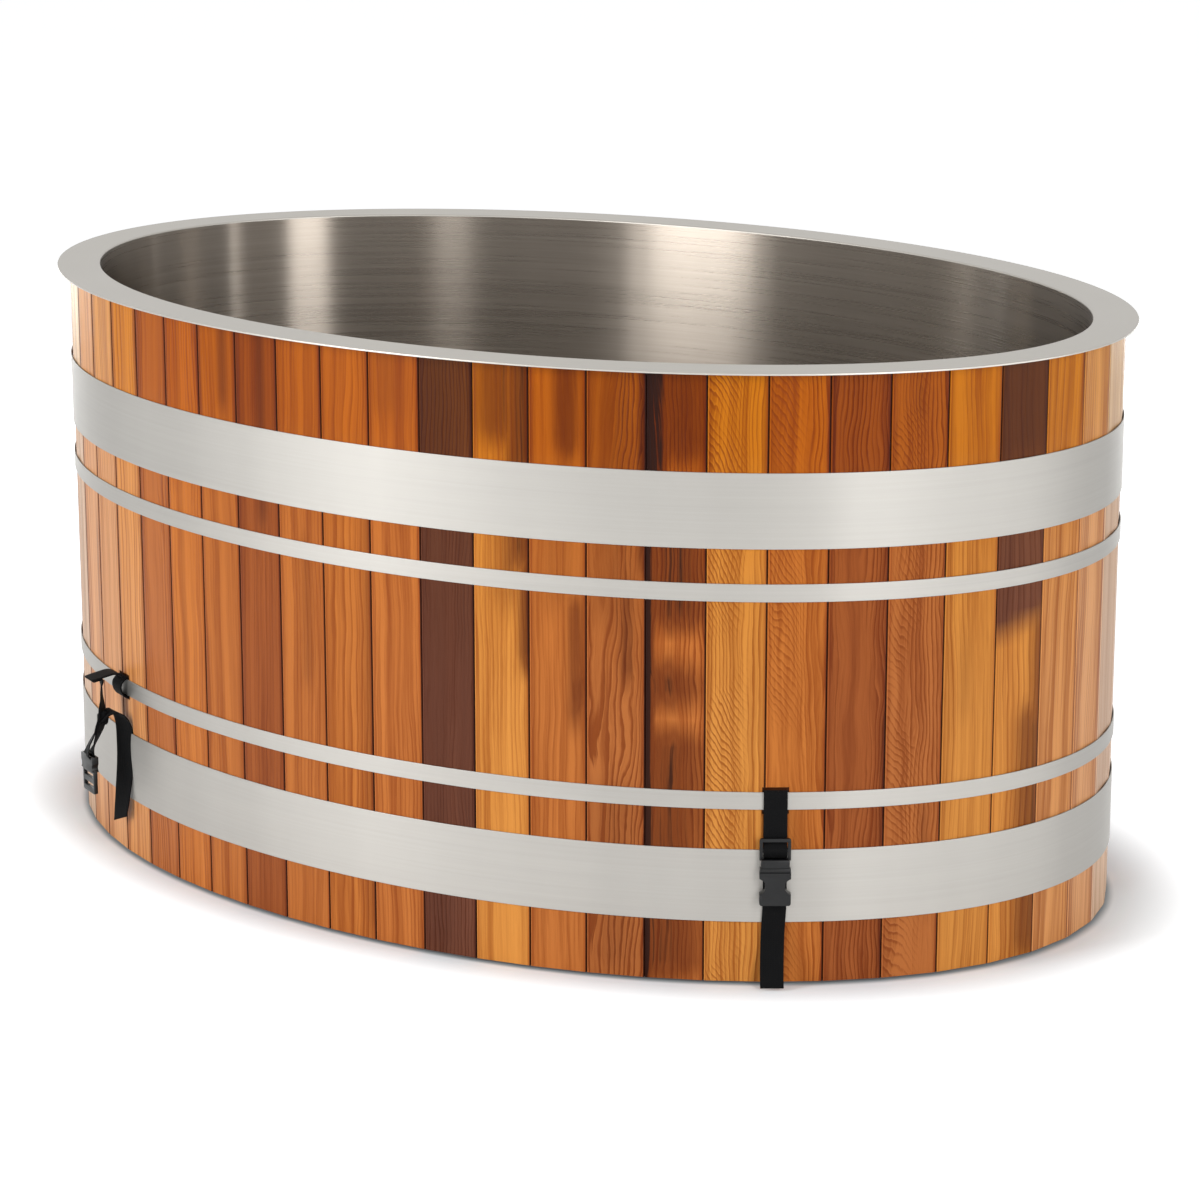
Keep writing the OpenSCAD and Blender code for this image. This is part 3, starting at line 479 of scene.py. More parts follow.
def toStrap(piece, angle):  # x along the wall, y into it and z up go to a place on the wall
    out = outwardAt(angle)
    piece.location = ovalPoint(angle)
    piece.rotation_euler = (0, 0, math.atan2(out.x, -out.y))
    settle(piece)


def carve(piece, *cutters):  # the cutters go, and leave their hole
    for cutter in cutters:
        modify(piece, "BOOLEAN", object=cutter, operation="DIFFERENCE", solver="EXACT")
        bpy.data.objects.remove(cutter)


def holeCutter(k, height, radius, depth):  # a round hole square to a stave's face
    first, second = staveFace(k)
    along = second - first
    clearSelection()
    bpy.ops.mesh.primitive_cylinder_add(
        vertices=64, radius=radius, depth=depth, location=(first + second) / 2 + Vector((0, 0, height)),
        rotation=(math.pi / 2, 0, math.atan2(along.y, along.x)))
    return bpy.context.object


def outlineMesh(points):  # a closed line through the points
    clearSelection()
    bpy.ops.mesh.primitive_circle_add(vertices=len(points), radius=1)
    outline = bpy.context.object
    for vertex, point in zip(outline.data.vertices, points):
        vertex.co = point
    return outline


def rounded(corners, steps=4):  # corners are (out, z, radius); flats get a holding point beside each turn
    hold = 0.0004  # how far from its turn a holding point is
    points = []
    for i, (x, y, radius) in enumerate(corners):
        here = Vector((x, y))
        before = (Vector(corners[i - 1][:2]) - here).normalized()
        after = (Vector(corners[(i + 1) % len(corners)][:2]) - here).normalized()
        if radius == 0:
            points.append((x, y))
            continue
        half = before.angle(after) / 2
        run = radius / math.tan(half)
        centre = here + (before + after).normalized() * (radius / math.sin(half))
        start, end = here + before * run - centre, here + after * run - centre
        turn = start.angle_signed(end)
        points.append(tuple(here + before * (run + hold)))
        for s in range(steps + 1):
            a = -turn * s / steps
            points.append((centre.x + start.x * math.cos(a) - start.y * math.sin(a),
                           centre.y + start.x * math.sin(a) + start.y * math.cos(a)))
        points.append(tuple(here + after * (run + hold)))
    return points


def sweptRing(name, corners, around=448, steps=4):  # the outline carried round the wall's oval
    outline = outlineMesh([(-x, y, 0) for x, y in rounded(corners, steps)])
    bpy.ops.object.convert(target="CURVE")
    outline = bpy.context.object
    clearSelection()
    bpy.ops.mesh.primitive_circle_add(vertices=around, radius=1)
    ring = bpy.context.object
    ring.scale = (wall["halfLength"], wall["halfWidth"], 1)
    settle(ring)
    bpy.ops.object.convert(target="CURVE")
    ring = bpy.context.object
    ring.name = name
    ring.data.dimensions = "2D"
    ring.data.fill_mode = "NONE"
    ring.data.bevel_mode = "OBJECT"
    ring.data.bevel_object = outline
    bpy.ops.object.convert(target="MESH")
    ring = bpy.context.object
    bpy.data.objects.remove(outline)
    outwardNormals(ring)
    return ring


# Rim and liner

rim = {"top": 0.660, "sheet": 0.002, "overhang": 0.0135, "inner": -0.0365, "roll": 0.0018}
rimPiece = sweptRing("rimFlange", [
    (rim["overhang"], rim["top"] - rim["sheet"], 0.0004),
    (rim["overhang"], rim["top"], 0.0006),
    (rim["inner"], rim["top"], rim["roll"]),
    (rim["inner"], rim["top"] - rim["sheet"], 0)])
smooth(rimPiece)
dress(rimPiece, "tub", "rim_steel", "rim_flange")

liner = {"bottom": 0.088, "top": 0.658, "inner": -0.0365, "sheet": 0.002}
linerPiece = sweptRing("linerWall", [
    (liner["inner"] + liner["sheet"], liner["bottom"], 0),
    (liner["inner"] + liner["sheet"], liner["top"], 0),
    (liner["inner"], liner["top"], 0),
    (liner["inner"], liner["bottom"], 0)])
print("rim and liner are made")

# Hoops

hoops = {
    "gap": 0.00005, "sheet": 0.0012, "edge": 0.0004, "seam": 0.024, "cutDepth": 0.1, "cutSpare": 0.01,
    "levels": {"hoop_upper_wide": (0.474, 0.554), "hoop_upper_narrow": (0.418, 0.437),
               "hoop_lower_narrow": (0.194, 0.213), "hoop_lower_wide": (0.070, 0.150)}}
near, far = hoops["gap"], hoops["gap"] + hoops["sheet"]
for node, (low, high) in hoops["levels"].items():
    parts = node.split("_")
    ring = sweptRing("hoop" + parts[1].title() + parts[2].title(), [
        (near, low, 0), (far, low, hoops["edge"]), (far, high, hoops["edge"]), (near, high, 0)], steps=2)
    clearSelection()
    bpy.ops.mesh.primitive_cube_add(
        size=1, location=(0, wall["halfWidth"], (low + high) / 2),
        scale=(hoops["seam"], hoops["cutDepth"], high - low + 2 * hoops["cutSpare"]))
    carve(ring, bpy.context.object)
    smooth(ring)
    dress(ring, "tub", "hoop_steel", node)
print("hoops are made")

# Staves

staves = {
    "thick": 0.019, "gap": 0.0004, "low": 0.003, "high": 0.6578, "round": 0.0015,
    "cuts": 31, "fineCuts": 63, "across": 11,  # more cuts where stains need them
    "groups": ["staves_front_left", "staves_front_right", "staves_right_front", "staves_right_back",
               "staves_back_right", "staves_back_left", "staves_left_back", "staves_left_front"],
    # S and P are pale tones; on the boards at the oval's two ends they stand partly for painted sheen
    "tones": {"S": "#c08b5f", "L": "#c28753", "G": "#c0803c", "A": "#b36b30", "M": "#af6832", "B": "#a46132",
              "R": "#8f4e26", "D": "#623a2b", "P": "#c6a88f"},
    "order": "SLBAMRMAMDGMBMGARBGGLSPPGBSMGADMRGMSAMBGPMADRMGSMABMGSPS",
    "heightShade": {0.05: (1.0, 1.0, 1.0), 0.30: (0.99, 0.98, 0.96), 0.46: (0.96, 0.90, 0.70),
                  0.57: (0.84, 0.64, 0.14), 0.66: (0.82, 0.62, 0.10)},  # painted shade by height: darker and more saturated towards the rim
    "paler": {"P": 0.25, "S": 0.35},  # boards that take only a share of the painted shade by height
    "figure": {2: 0.5, 8: 0.3, 9: 0.5, 12: 1.0, 13: 0.7, 14: 0.5, 15: 0.7, 16: 0.8, 17: 0.7, 18: 0.2, 19: 0.3,
               26: 0.9, 33: 0.8, 41: 1.0, 48: 0.8},
    "curl": {14: 1.0, 15: 0.5, 17: 0.6, 30: 0.8, 45: 0.8},
    "stains": {  # smoke-dark heartwood: middle and half of its width as shares, lowest, highest, strength
        4: [(0.65, 0.2, 0.56, 0.68, 0.5)],
        5: [(0.6, 0.16, 0.44, 0.68, 0.5)],
        8: [(0.4, 0.5, 0.58, 0.68, 0.3)],
        9: [(0.3, 0.5, 0, 0.7, 0.3), (0.8, 0.3, 0.1, 0.5, 0.3)],
        10: [(0.86, 0.30, 0.44, 0.7, 1.0), (1.0, 0.20, 0.33, 0.45, 1.1), (0.62, 0.14, 0.42, 0.50, 0.6),
             (0.45, 0.5, 0.57, 0.7, 0.75), (0.6, 0.5, 0.39, 0.5, 0.35)],
        11: [(0.82, 0.2, 0.27, 0.42, 0.55), (0.86, 0.12, 0.285, 0.34, 0.8), (0.65, 0.28, 0.56, 0.7, 0.7),
             (0.5, 0.6, 0.39, 0.5, 0.25)],
        12: [(0.68, 0.16, 0.32, 0.44, 0.5), (0.95, 0.1, 0.44, 0.7, 0.7), (0.5, 0.6, 0.38, 0.7, 0.3),
             (0.5, 0.6, 0.0, 0.22, 0.3)],
        13: [(0.0, 0.12, 0, 0.7, 2.6), (0.5, 0.7, 0.385, 0.50, 0.95), (0.35, 0.75, 0.300, 0.352, 0.88),
             (0.38, 0.75, 0.0, 0.280, 0.86), (0.10, 0.24, 0.54, 0.7, 2.0), (0.6, 0.6, 0.56, 0.7, 0.8)],
        16: [(1.0, 0.12, 0, 0.30, 0.5)],
        17: [(0.5, 0.12, 0.60, 0.66, 0.3), (0.7, 0.15, 0.1, 0.2, 0.3)],
        19: [(0.95, 0.24, 0, 0.38, 0.6), (0.88, 0.46, 0.0, 0.285, 0.8), (0.5, 0.9, 0.55, 0.7, 0.35)],
        22: [(0.5, 0.9, 0.1, 0.7, 0.28)],
        23: [(0.5, 0.9, 0.4, 0.7, 0.30)]},
    "stainFade": 0.04,  # how softly a stain starts and ends along its board
    "darkTops": {19: 0.372, 27: 0.45, 50: 0.30},  # boards that turn to heartwood above this height
}
rightStrap, leftStrap = (math.acos(along / wall["halfLength"]) for along in (0.473, 0.381))
straps = {"angles": [-rightStrap, leftStrap - math.pi, rightStrap, math.pi - leftStrap],
          "width": 25, "slack": 1.6, "housing": 2.6, "hoop": (194, 213)}
drainHole = (35, 0.027, 0.01395)  # stave, height, radius
portHoles = [(32, 0.310, 0.0171), (38, 0.310, 0.0171)]


def ramp(value):  # held between 0 and 1
    return min(1, max(0, value))


def blotch(spots, z, share):
    found = 0.0
    for middle, half, low, high, strength in spots:
        sideways = math.exp(-1.3 * ((share - middle) / half) ** 2)
        upright = ramp((z - low) / staves["stainFade"] + 0.5) * ramp((high - z) / staves["stainFade"] + 0.5)
        found = max(found, strength * sideways * upright)
    return found


def loopRoom(angle):  # what a strap's loop needs behind its hoop
    (low, high), deep = straps["hoop"], straps["housing"]
    cutter = slab(straps["width"] + 2 * straps["slack"], (-deep, deep), (low - 2 * deep, high + 2 * deep))
    toStrap(cutter, angle)
    return cutter


def goesUp(a, b):  # whether an edge runs up the board
    return abs(a.z - b.z) > staves["high"] / 2


def plainStave(k):  # a board with rounded arrises, cut up finely for its colours, and its holes
    outer, inner = staveFace(k), staveFace(k, staves["thick"])
    half = (outer[1] - outer[0]).normalized() * staves["gap"] / 2
    corner = {(-1, -1): inner[0] + half, (-1, 1): outer[0] + half,
              (1, -1): inner[1] - half, (1, 1): outer[1] - half}
    clearSelection()
    bpy.ops.mesh.primitive_cube_add(size=2)
    board = bpy.context.object
    for vertex in board.data.vertices:
        place = corner[(round(vertex.co.x), round(vertex.co.y))]
        vertex.co = (place.x, place.y, staves["low"] if vertex.co.z < 0 else staves["high"])
    arrises = [corner[(-1, 1)], corner[(1, 1)]]
    selectEdges(board, lambda a, b: goesUp(a, b) and any((a.xy - p.xy).length < tolerance for p in arrises))
    bpy.ops.mesh.bevel(offset=staves["round"], segments=3, profile=0.5, affect="EDGES")
    objectMode()
    selectEdges(board, goesUp)
    bpy.ops.mesh.subdivide(number_cuts=staves["fineCuts" if k in staves["stains"] else "cuts"])
    objectMode()
    selectEdges(board, lambda a, b: (a - b).length > pitch / 2)
    bpy.ops.mesh.subdivide(number_cuts=staves["across"])
    objectMode()
    middle = (outer[0] + outer[1]) / 2
    carve(board, *[loopRoom(angle) for angle in straps["angles"] if (ovalPoint(angle) - middle).length < pitch],
          *[holeCutter(*hole, depth=0.1) for hole in [drainHole] + portHoles if hole[0] == k])
    return board


def makeStave(k):  # each board's own grain: where the heart of its log lies, how the log leans, and its colours
    draw = random.Random(k * 17 + 5)
    board = plainStave(k)
    figure = staves["figure"].get(k, draw.uniform(0.0, 0.35))
    marked = figure > 0.45
    heart = Vector((draw.choice((-1, 1)) * (draw.uniform(0.02, 0.05) if marked else draw.uniform(0.03, 0.12)),
                    draw.uniform(0.010, 0.03) if marked else draw.uniform(0.03, 0.09)))
    lean = Vector((draw.uniform(-0.03, 0.03),
                   draw.uniform(0.01, 0.03) if marked else draw.uniform(-0.012, 0.012)))
    start = draw.uniform(0, 400)
    spots = staves["stains"].get(k, [])
    if not spots and draw.random() < 0.35:
        spots = [(draw.uniform(0, 1), draw.uniform(0.08, 0.25), draw.uniform(0, 0.3), draw.uniform(0.35, 0.7),
                  draw.uniform(0.2, 0.6))]
    drift = draw.uniform(0.94, 1.07)
    letter = staves["order"][k]
    tint, heartTint = (np.array(colour(staves["tones"][kind])) for kind in (letter, "D"))
    turnsDark = staves["darkTops"].get(k, 2 * staves["high"])
    shadeShare = staves["paler"].get(letter, 1.0)
    levels, factors = list(staves["heightShade"]), np.array(list(staves["heightShade"].values()))
    mesh = board.data
    for name, kind in (("grain", "FLOAT_VECTOR"), ("tone", "FLOAT_COLOR"), ("marks", "FLOAT_VECTOR"),
                       ("place", "FLOAT_VECTOR")):
        mesh.attributes.new(name, kind, "POINT")
    grain, tone, marks, spot = (mesh.attributes[name] for name in ("grain", "tone", "marks", "place"))
    first, second = staveFace(k)
    along = second - first
    toBoard = Matrix.Rotation(-math.atan2(along.y, along.x), 4, "Z")
    for i, vertex in enumerate(mesh.vertices):
        local = toBoard @ (vertex.co - (first + second) / 2)
        share, height = local.x / along.length, vertex.co.z
        grain.data[i].vector = (local.x - heart.x + lean.x * height, local.y - heart.y + lean.y * height,
                                height + start)
        # painted shade by height, of which the pale boards take only a share
        shadeFactor = np.array([np.interp(height, levels, factors[:, channel]) for channel in range(3)]) ** shadeShare
        dark = ramp((height - turnsDark - 0.25 * local.x) / 0.03 + 0.5)
        tone.data[i].color = tuple((tint + (heartTint - tint) * dark) * shadeFactor * drift) + (figure,)
        marks.data[i].vector = (blotch(spots, height, share + 0.5), staves["curl"].get(k, 0.0), 0.0)
        spot.data[i].vector = (2 * share, local.y, height)
    return board


perGroup = wall["staves"] // len(staves["groups"])
for number, node in enumerate(staves["groups"]):
    boards = [makeStave(k) for k in range(number * perGroup, (number + 1) * perGroup)]
    words = node.split("_")
    group = joined(words[0] + words[1].title() + words[2].title(), boards)
    smooth(group, 40)
    dress(group, "tub", "cedar", node)
print("staves are made")

# Port holes through the liner

for hole in portHoles:
    carve(linerPiece, holeCutter(*hole, depth=0.2))
smooth(linerPiece)
dress(linerPiece, "tub", "liner_steel", "liner_wall")

# Straps. Stations are millimetres and degrees in the wall's own frame: along the wall, out, up, and where
# the web isn't straight or whole its turn about up, tilt and width

webs = {"thick": 0.0014, "across": 6, "steps": 6, "edge": 0.0003, "flatWidth": 0.025}
hang = {  # a closed strap, hung from the narrow hoop and threaded through its buckle
    "path": [(0, 3.95, 215.4), (0, 3.95, 212), (0, 3.95, 190), (0, 3.95, 166), (0, 4.1, 161), (0, 7.6, 156.4),
             (0, 9.95, 153), (0, 9.95, 150.4), (0, 7.4, 146.4), (0, 4.1, 142), (0, 3.95, 137), (0, 3.95, 115),
             (0, 3.95, 92), (-0.8, 3.95, 76), (-1.6, 3.95, 60), (-2.0, 4.8, 46), (-2.3, 8.2, 31),
             (-2.5, 13.6, 17), (-2.5, 20.4, 3)],
    "loop": [(0, -1.0, 203), (0, -1.0, 195), (0, -0.4, 193.0), (0, 1.0, 192.7), (0, 2.25, 194), (0, 2.25, 203),
             (0, 2.25, 213), (0, 1.2, 214.3), (0, 0.0, 214.3), (0, -1.0, 213), (0, -1.0, 203.2)]}
loose = {  # the open strap: slack loop, stiff flap, twisted drop, knot, tail and the two sides of its sling
    "loop": [(0, -1.1, 203), (0, -1.1, 195), (0, -0.2, 191.6), (0, 4.2, 192.6), (0, 8.2, 199), (0, 8.8, 206),
             (0, 5.6, 211.4), (0, 1.8, 214.2), (0, 0.2, 214.4), (0, -1.1, 213), (0, -1.1, 203.2)],
    "flap": [(0, 3.95, 214.7), (0, 8, 219.0), (0, 16, 221.5), (0, 28, 219.9), (0, 41.5, 217.4),
             (0, 42.4, 216.6), (0, 41.5, 215.9), (0, 32, 217.2),
             (0, 29.4, 214.5, 6, 0, 25), (0, 28.8, 209, 18, 0, 24),
             (0, 28.5, 203, 25, 0, 24), (0, 28.5, 192, 28, 0, 24), (0, 28.5, 180, 40, 5, 22),
             (0.5, 28, 170, 48, 10, 20), (1, 28, 161, 48, 20, 19)],
    "tail": [(2, 29, 168, 30, -15, 20), (5, 22, 176, 10, -5, 22), (8, 13, 174, -10, 0, 24),
             (9.5, 6.5, 160, -22, 0, 25), (9.5, 4.4, 136, -30, 0, 25), (8.5, 5.2, 110, -26, 0, 25),
             (6.5, 8.5, 75, -20, 6, 25), (5, 12.0, 45, -16, 22, 25)],
    "slingFront": [(1, 30, 166, 45, 20, 20), (0, 32, 159, 45, 20, 21), (-2, 37, 150, 30, 0, 24),
                   (-2, 44, 139, 24, 0, 25), (-1, 48.6, 128, 12, 0, 25), (0, 48.4, 123)],
    "slingBack": [(1, 29, 166, 45, 20, 20), (0, 31, 158, 45, 20, 21), (0, 34, 149, 40, 5, 22),
                  (0, 38, 139, 32, 0, 25), (0, 42.4, 128, 12, 0, 25), (0, 42.8, 123)],
    "knot": {"centre": (1.0, 28.0), "across": 6.4, "out": 6.0, "level": 167.0, "lean": 4.0, "tilt": 78,
             "sway": 8, "width": 15.0, "turns": 1.3, "stations": 15}}


def smoothRows(stations, steps):  # a smooth run through the stations
    plain = (0, 0, webs["flatWidth"] * 1000)
    rows = np.array([station + plain[len(station) - 3:] for station in stations], float)
    rows = np.vstack([2 * rows[0] - rows[1], rows, 2 * rows[-1] - rows[-2]])
    found = []
    for i in range(1, len(rows) - 2):
        a, b, c, d = rows[i - 1:i + 3]
        for t in (step / steps for step in range(steps)):
            found.append(0.5 * (2 * b + (c - a) * t + (2 * a - 5 * b + 4 * c - d) * t ** 2
                                + (3 * b - a - 3 * c + d) * t ** 3))
    return found + [rows[-2]]


def webPiece(angle, stations):  # one length of webbing and how long it is
    rows = smoothRows(stations, webs["steps"])
    clearSelection()
    bpy.ops.mesh.primitive_grid_add(x_subdivisions=webs["across"], y_subdivisions=len(rows) - 1, size=2)
    web = bpy.context.object
    runs = [0.0]
    for before, after in zip(rows, rows[1:]):
        runs.append(runs[-1] + float(np.linalg.norm(after[:3] - before[:3])) / 1000)
    flat = []
    for vertex in web.data.vertices:
        share, row = vertex.co.x, round((vertex.co.y + 1) / 2 * (len(rows) - 1))
        x, out, z, turned, tilted, width = rows[row]
        turned, tilted, half = math.radians(turned), math.radians(tilted), share * width / 2
        flat.append((half / 1000, runs[row]))
        vertex.co = onWall(angle, (x + half * math.cos(turned) * math.cos(tilted)) / 1000,
                           (out + half * math.sin(turned) * math.cos(tilted)) / 1000,
                           (z + half * math.sin(tilted)) / 1000)
    layer = web.data.uv_layers[0]
    layer.name = "weave"
    for loop in web.data.loops:
        layer.data[loop.index].uv = flat[loop.vertex_index]
    modify(web, "SOLIDIFY", thickness=webs["thick"], offset=0)
    modify(web, "BEVEL", width=webs["edge"], segments=2, limit_method="ANGLE", angle_limit=math.radians(50))
    outwardNormals(web)
    smooth(web, 50)
    return web, runs[-1]


def sewnWebs(name, angle, runs, body, node):  # several lengths as one cloth piece
    made = [webPiece(angle, stations) for stations in runs]
    piece = joined(name, [web for web, length in made])
    dress(piece, body, "webbing", node)


def knotStations(knot):
    found = []
    for i in range(knot["stations"]):
        a = 2 * math.pi * knot["turns"] * i / (knot["stations"] - 1)
        found.append((knot["centre"][0] + knot["across"] * math.cos(a),
                      knot["centre"][1] + knot["out"] * math.sin(a),
                      knot["level"] + knot["lean"] * math.cos(a),
                      0, knot["tilt"] + knot["sway"] * math.sin(a), knot["width"]))
    return found


strapNames = ["One", "Two", "Three", "Four"]
undone = "Two"
for number, (word, angle) in enumerate(zip(strapNames, straps["angles"]), 1):
    kind, runs = hang, [hang["path"]]
    if word == undone:
        kind, runs = loose, [loose[run] for run in ("flap", "tail", "slingFront", "slingBack")]
        runs.append(knotStations(loose["knot"]))
    sewnWebs(f"strap{word}Loop", angle, [kind["loop"]], "tub", "strap_loops")
    sewnWebs(f"strap{word}Webbing", angle, runs, f"strap_{number}", f"strap_{number}_webbing")
print("straps are made")

# Side-release buckles, in millimetres of the same frame

buckle = {"width": 33, "back": 4.95, "plateFront": 8.95, "top": 164.7, "bar": 4, "slot": 7, "rail": 3.4,
          "bodyTop": 142.7, "bodyWidth": 30, "bodyFront": 13.95, "socketTop": 128.7, "socketBottom": 92.7,
          "socketFront": 14.95, "gap": 0.3, "collar": 4.6, "collarWidth": 32.6, "cavityWidth": 22,
          "cavityThick": 6.0, "cavityDepth": 28, "armWidth": 4, "armThick": 5.4, "armEnd": 2,
          "waist": 9, "waistPlace": (19, 113.6), "panel": 2.2, "panelDepth": 0.5}
openHalf = {"out": 45.6, "width": 33, "plateThick": 4.6, "bodyThick": 8.0, "bottom": 82, "plateTop": 109,
            "top": 127, "slots": [(89, 94), (101, 106)], "slotWidth": 26, "recess": (122, 26, 2.2),
            "waist": 6, "waistPlace": (20.5, 114)}


def waists(half, outs):  # two round cutters that hollow the sides of a buckle half
    (x, z), cutters = half["waistPlace"], []
    for side in (-1, 1):
        clearSelection()
        bpy.ops.mesh.primitive_cylinder_add(
            vertices=48, radius=half["waist"] / 1000, depth=(outs[1] - outs[0]) / 1000,
            location=(side * x / 1000, -sum(outs) / 2000, z / 1000), rotation=(math.pi / 2, 0, 0))
        cutters.append(bpy.context.object)
    return cutters


def roundCorners(piece, z, radius):  # the upright edges' ends at one level, seen from outside
    selectEdges(piece, lambda a, b: abs(a.y - b.y) > 0.002
                and all(abs(end.z - z / 1000) < tolerance for end in (a, b)))
    bpy.ops.mesh.bevel(offset=radius / 1000, segments=4, affect="EDGES")
    objectMode()


def finishBuckle(name, piece, angle, body, node):
    piece.name = name
    piece.data.name = name
    outwardNormals(piece)
    toStrap(piece, angle)
    smooth(piece)
    dress(piece, body, "buckle_plastic", node)


def centredOn(out, thick):  # the two depths of a layer of this thickness
    return out - thick / 2, out + thick / 2


def makePlug(name, angle, body, node):
    back, front, gap = buckle["back"], buckle["socketFront"], buckle["gap"]
    bar, slot, top = buckle["bar"], buckle["slot"], buckle["top"]
    plate = slab(buckle["width"], (back, buckle["plateFront"]), (buckle["bodyTop"] - 2, top))
    roundCorners(plate, top, 2.4)
    for level in (top - bar, top - 2 * bar - slot):
        carve(plate, slab(buckle["width"] - 2 * buckle["rail"], (back - 1, buckle["plateFront"] + 1),
                          (level - slot, level)))
    soften(plate, 0.9)
    low = buckle["socketTop"] + gap
    parts = [plate,
             slab(buckle["bodyWidth"], (back, buckle["bodyFront"]), (low + 1, buckle["bodyTop"]), edge=1.4),
             slab(buckle["collarWidth"], (back, front), (low, low + buckle["collar"]), edge=1.2)]
    thick = centredOn((back + front) / 2, buckle["armThick"])
    low, high = buckle["socketTop"] - buckle["cavityDepth"] + buckle["armEnd"], buckle["socketTop"] + 2
    reach = buckle["cavityWidth"] / 2 - gap - buckle["armWidth"] / 2
    for side in (-1, 1):
        parts.append(slab(buckle["armWidth"], thick, (low, high), side * reach, edge=1.2))
    low += buckle["cavityDepth"] / 2 - buckle["armEnd"]  # the middle prong is shorter
    parts.append(slab(buckle["armWidth"], thick, (low, high), edge=1.0))
    finishBuckle(name, joined(name, parts), angle, body, node)


def makeSocket(name, angle, body, node):
    back, front, top = buckle["back"], buckle["socketFront"], buckle["socketTop"]
    shell = slab(buckle["width"], (back, front), (buckle["socketBottom"], top))
    carve(shell, *waists(buckle, (back - 1, front + 1)))
    roundCorners(shell, buckle["socketBottom"], 2.6)
    editMode(shell, "FACE", False)
    objectMode()
    for face in shell.data.polygons:  # a sunk panel on the front
        face.select = face.normal.y < -0.9
    bpy.ops.object.mode_set(mode="EDIT")
    bpy.ops.mesh.inset(thickness=buckle["panel"] / 1000, depth=-buckle["panelDepth"] / 1000)
    objectMode()
    carve(shell, slab(buckle["cavityWidth"], centredOn((back + front) / 2, buckle["cavityThick"]),
                      (top - buckle["cavityDepth"], top + 1)))
    soften(shell, 0.5, 2)
    finishBuckle(name, shell, angle, body, node)


def makeOpenHalf(name, angle, body, node):
    outs, thick = (centredOn(openHalf["out"], openHalf[kind]) for kind in ("plateThick", "bodyThick"))
    plate = slab(openHalf["width"], outs, (openHalf["bottom"], openHalf["plateTop"] + 2))
    roundCorners(plate, openHalf["bottom"], 3.0)
    for levels in openHalf["slots"]:
        carve(plate, slab(openHalf["slotWidth"], (outs[0] - 2, outs[1] + 2), levels))
    soften(plate, 0.8)
    block = slab(openHalf["width"], thick, (openHalf["plateTop"], openHalf["top"]))
    carve(block, *waists(openHalf, (thick[0] - 1, thick[1] + 1)))
    low, wide, deep = openHalf["recess"]
    carve(block, slab(wide, centredOn(openHalf["out"], 2 * deep), (low, openHalf["top"] + 1)))
    soften(block, 0.7)
    finishBuckle(name, joined(name, [plate, block]), angle, body, node)


for number, (word, angle) in enumerate(zip(strapNames, straps["angles"]), 1):
    if word == undone:
        makeOpenHalf(f"buckle{word}Socket", angle, f"strap_{number}", f"buckle_{number}_socket")
    else:
        makePlug(f"buckle{word}Plug", angle, f"strap_{number}", f"buckle_{number}_plug")
        makeSocket(f"buckle{word}Socket", angle, f"socket_{number}", f"buckle_{number}_socket")
print("buckles are made")

# Turned fittings on the back, in millimetres: depth into the wall from a stave's face, and radius. Threads are
# start, end, crest, depth and pitch; the collar is its flats, start, end, share of its corners kept, and bore

fittings = {
    "ports": {"mouth": [(-36, 12), (-36, 15.3), (-35, 16.5)], "threads": (-35, -15, 16.5, 1.0, 2.3),
              "neck": [(-14, 15.9), (-13.5, 16.2), (39.2, 16.2), (39.2, 28.6), (39.6, 29), (42.2, 29),
                       (43.2, 28), (43.2, 12)]},
    "outlet": {"mouth": [(-95, 9), (-95, 12.1), (-94, 13.1)], "threads": (-94, -79, 13.2, 0.9, 1.9),
               "neck": [(-78, 12.7), (-76.9, 12.7), (-67.1, 13.2), (-56, 13.2), (-56, 9)],
               "collar": (31.7, -77, -67, 1.04, 12.5)},
    "grip": {"start": 32.8, "end": 83.2, "half": 8.2, "depth": -38, "low": 55.75, "high": 60.65, "edge": 1.5},
    "around": 64}


def toStave(piece, k, height):  # x right, y up and z into the wall go to their place on a stave
    first, second = staveFace(k)
    right = (second - first).normalized()
    foot = (first + second) / 2 + Vector((0, 0, height))
    for vertex in piece.data.vertices:
        x, y, depth = vertex.co / 1000
        vertex.co = foot + right * x + Vector((-right.y, right.x, 0)) * depth + Vector((0, 0, y))
    outwardNormals(piece)


def turnedPiece(profile):
    piece = outlineMesh([(radius, 0, depth) for depth, radius in profile])
    modify(piece, "SCREW", steps=fittings["around"], render_steps=fittings["around"], use_merge_vertices=True,
           merge_threshold=0.001)
    outwardNormals(piece)
    return piece


def threadRows(start, end, crest, deep, pitch):  # a crest and a root for each turn
    turns = round((end - start) / pitch)
    step = (end - start) / turns
    return [(start + (i + part) * step, crest - deep * 2 * part) for i in range(turns) for part in (0, 0.5)]


def hexRing(flats, start, end, share, bore):
    corner = flats / math.sqrt(3)
    clearSelection()
    bpy.ops.mesh.primitive_cylinder_add(vertices=6, radius=corner, depth=end - start + 2,
                                        location=(0, 0, (start + end) / 2), rotation=(0, 0, math.pi / 6))
    ring = bpy.context.object
    settle(ring)
    low, high = flats / 2 * share, corner * share
    bevel = (high - low) * math.tan(math.pi / 6)
    lathed = turnedPiece([(start, bore), (start, low), (start + bevel, high), (end - bevel, high), (end, low),
                          (end, bore)])
    modify(ring, "BOOLEAN", object=lathed, operation="INTERSECT", solver="EXACT")
    bpy.data.objects.remove(lathed)
    return ring


def threaded(fitting):
    return turnedPiece(fitting["mouth"] + threadRows(*fitting["threads"]) + fitting["neck"])


ports = []
for hole in portHoles:
    ports.append(threaded(fittings["ports"]))
    toStave(ports[-1], *hole[:2])
portPiece = joined("portBodies", ports)
smooth(portPiece, 30)
dress(portPiece, "tub", "fitting_steel", "port_bodies")

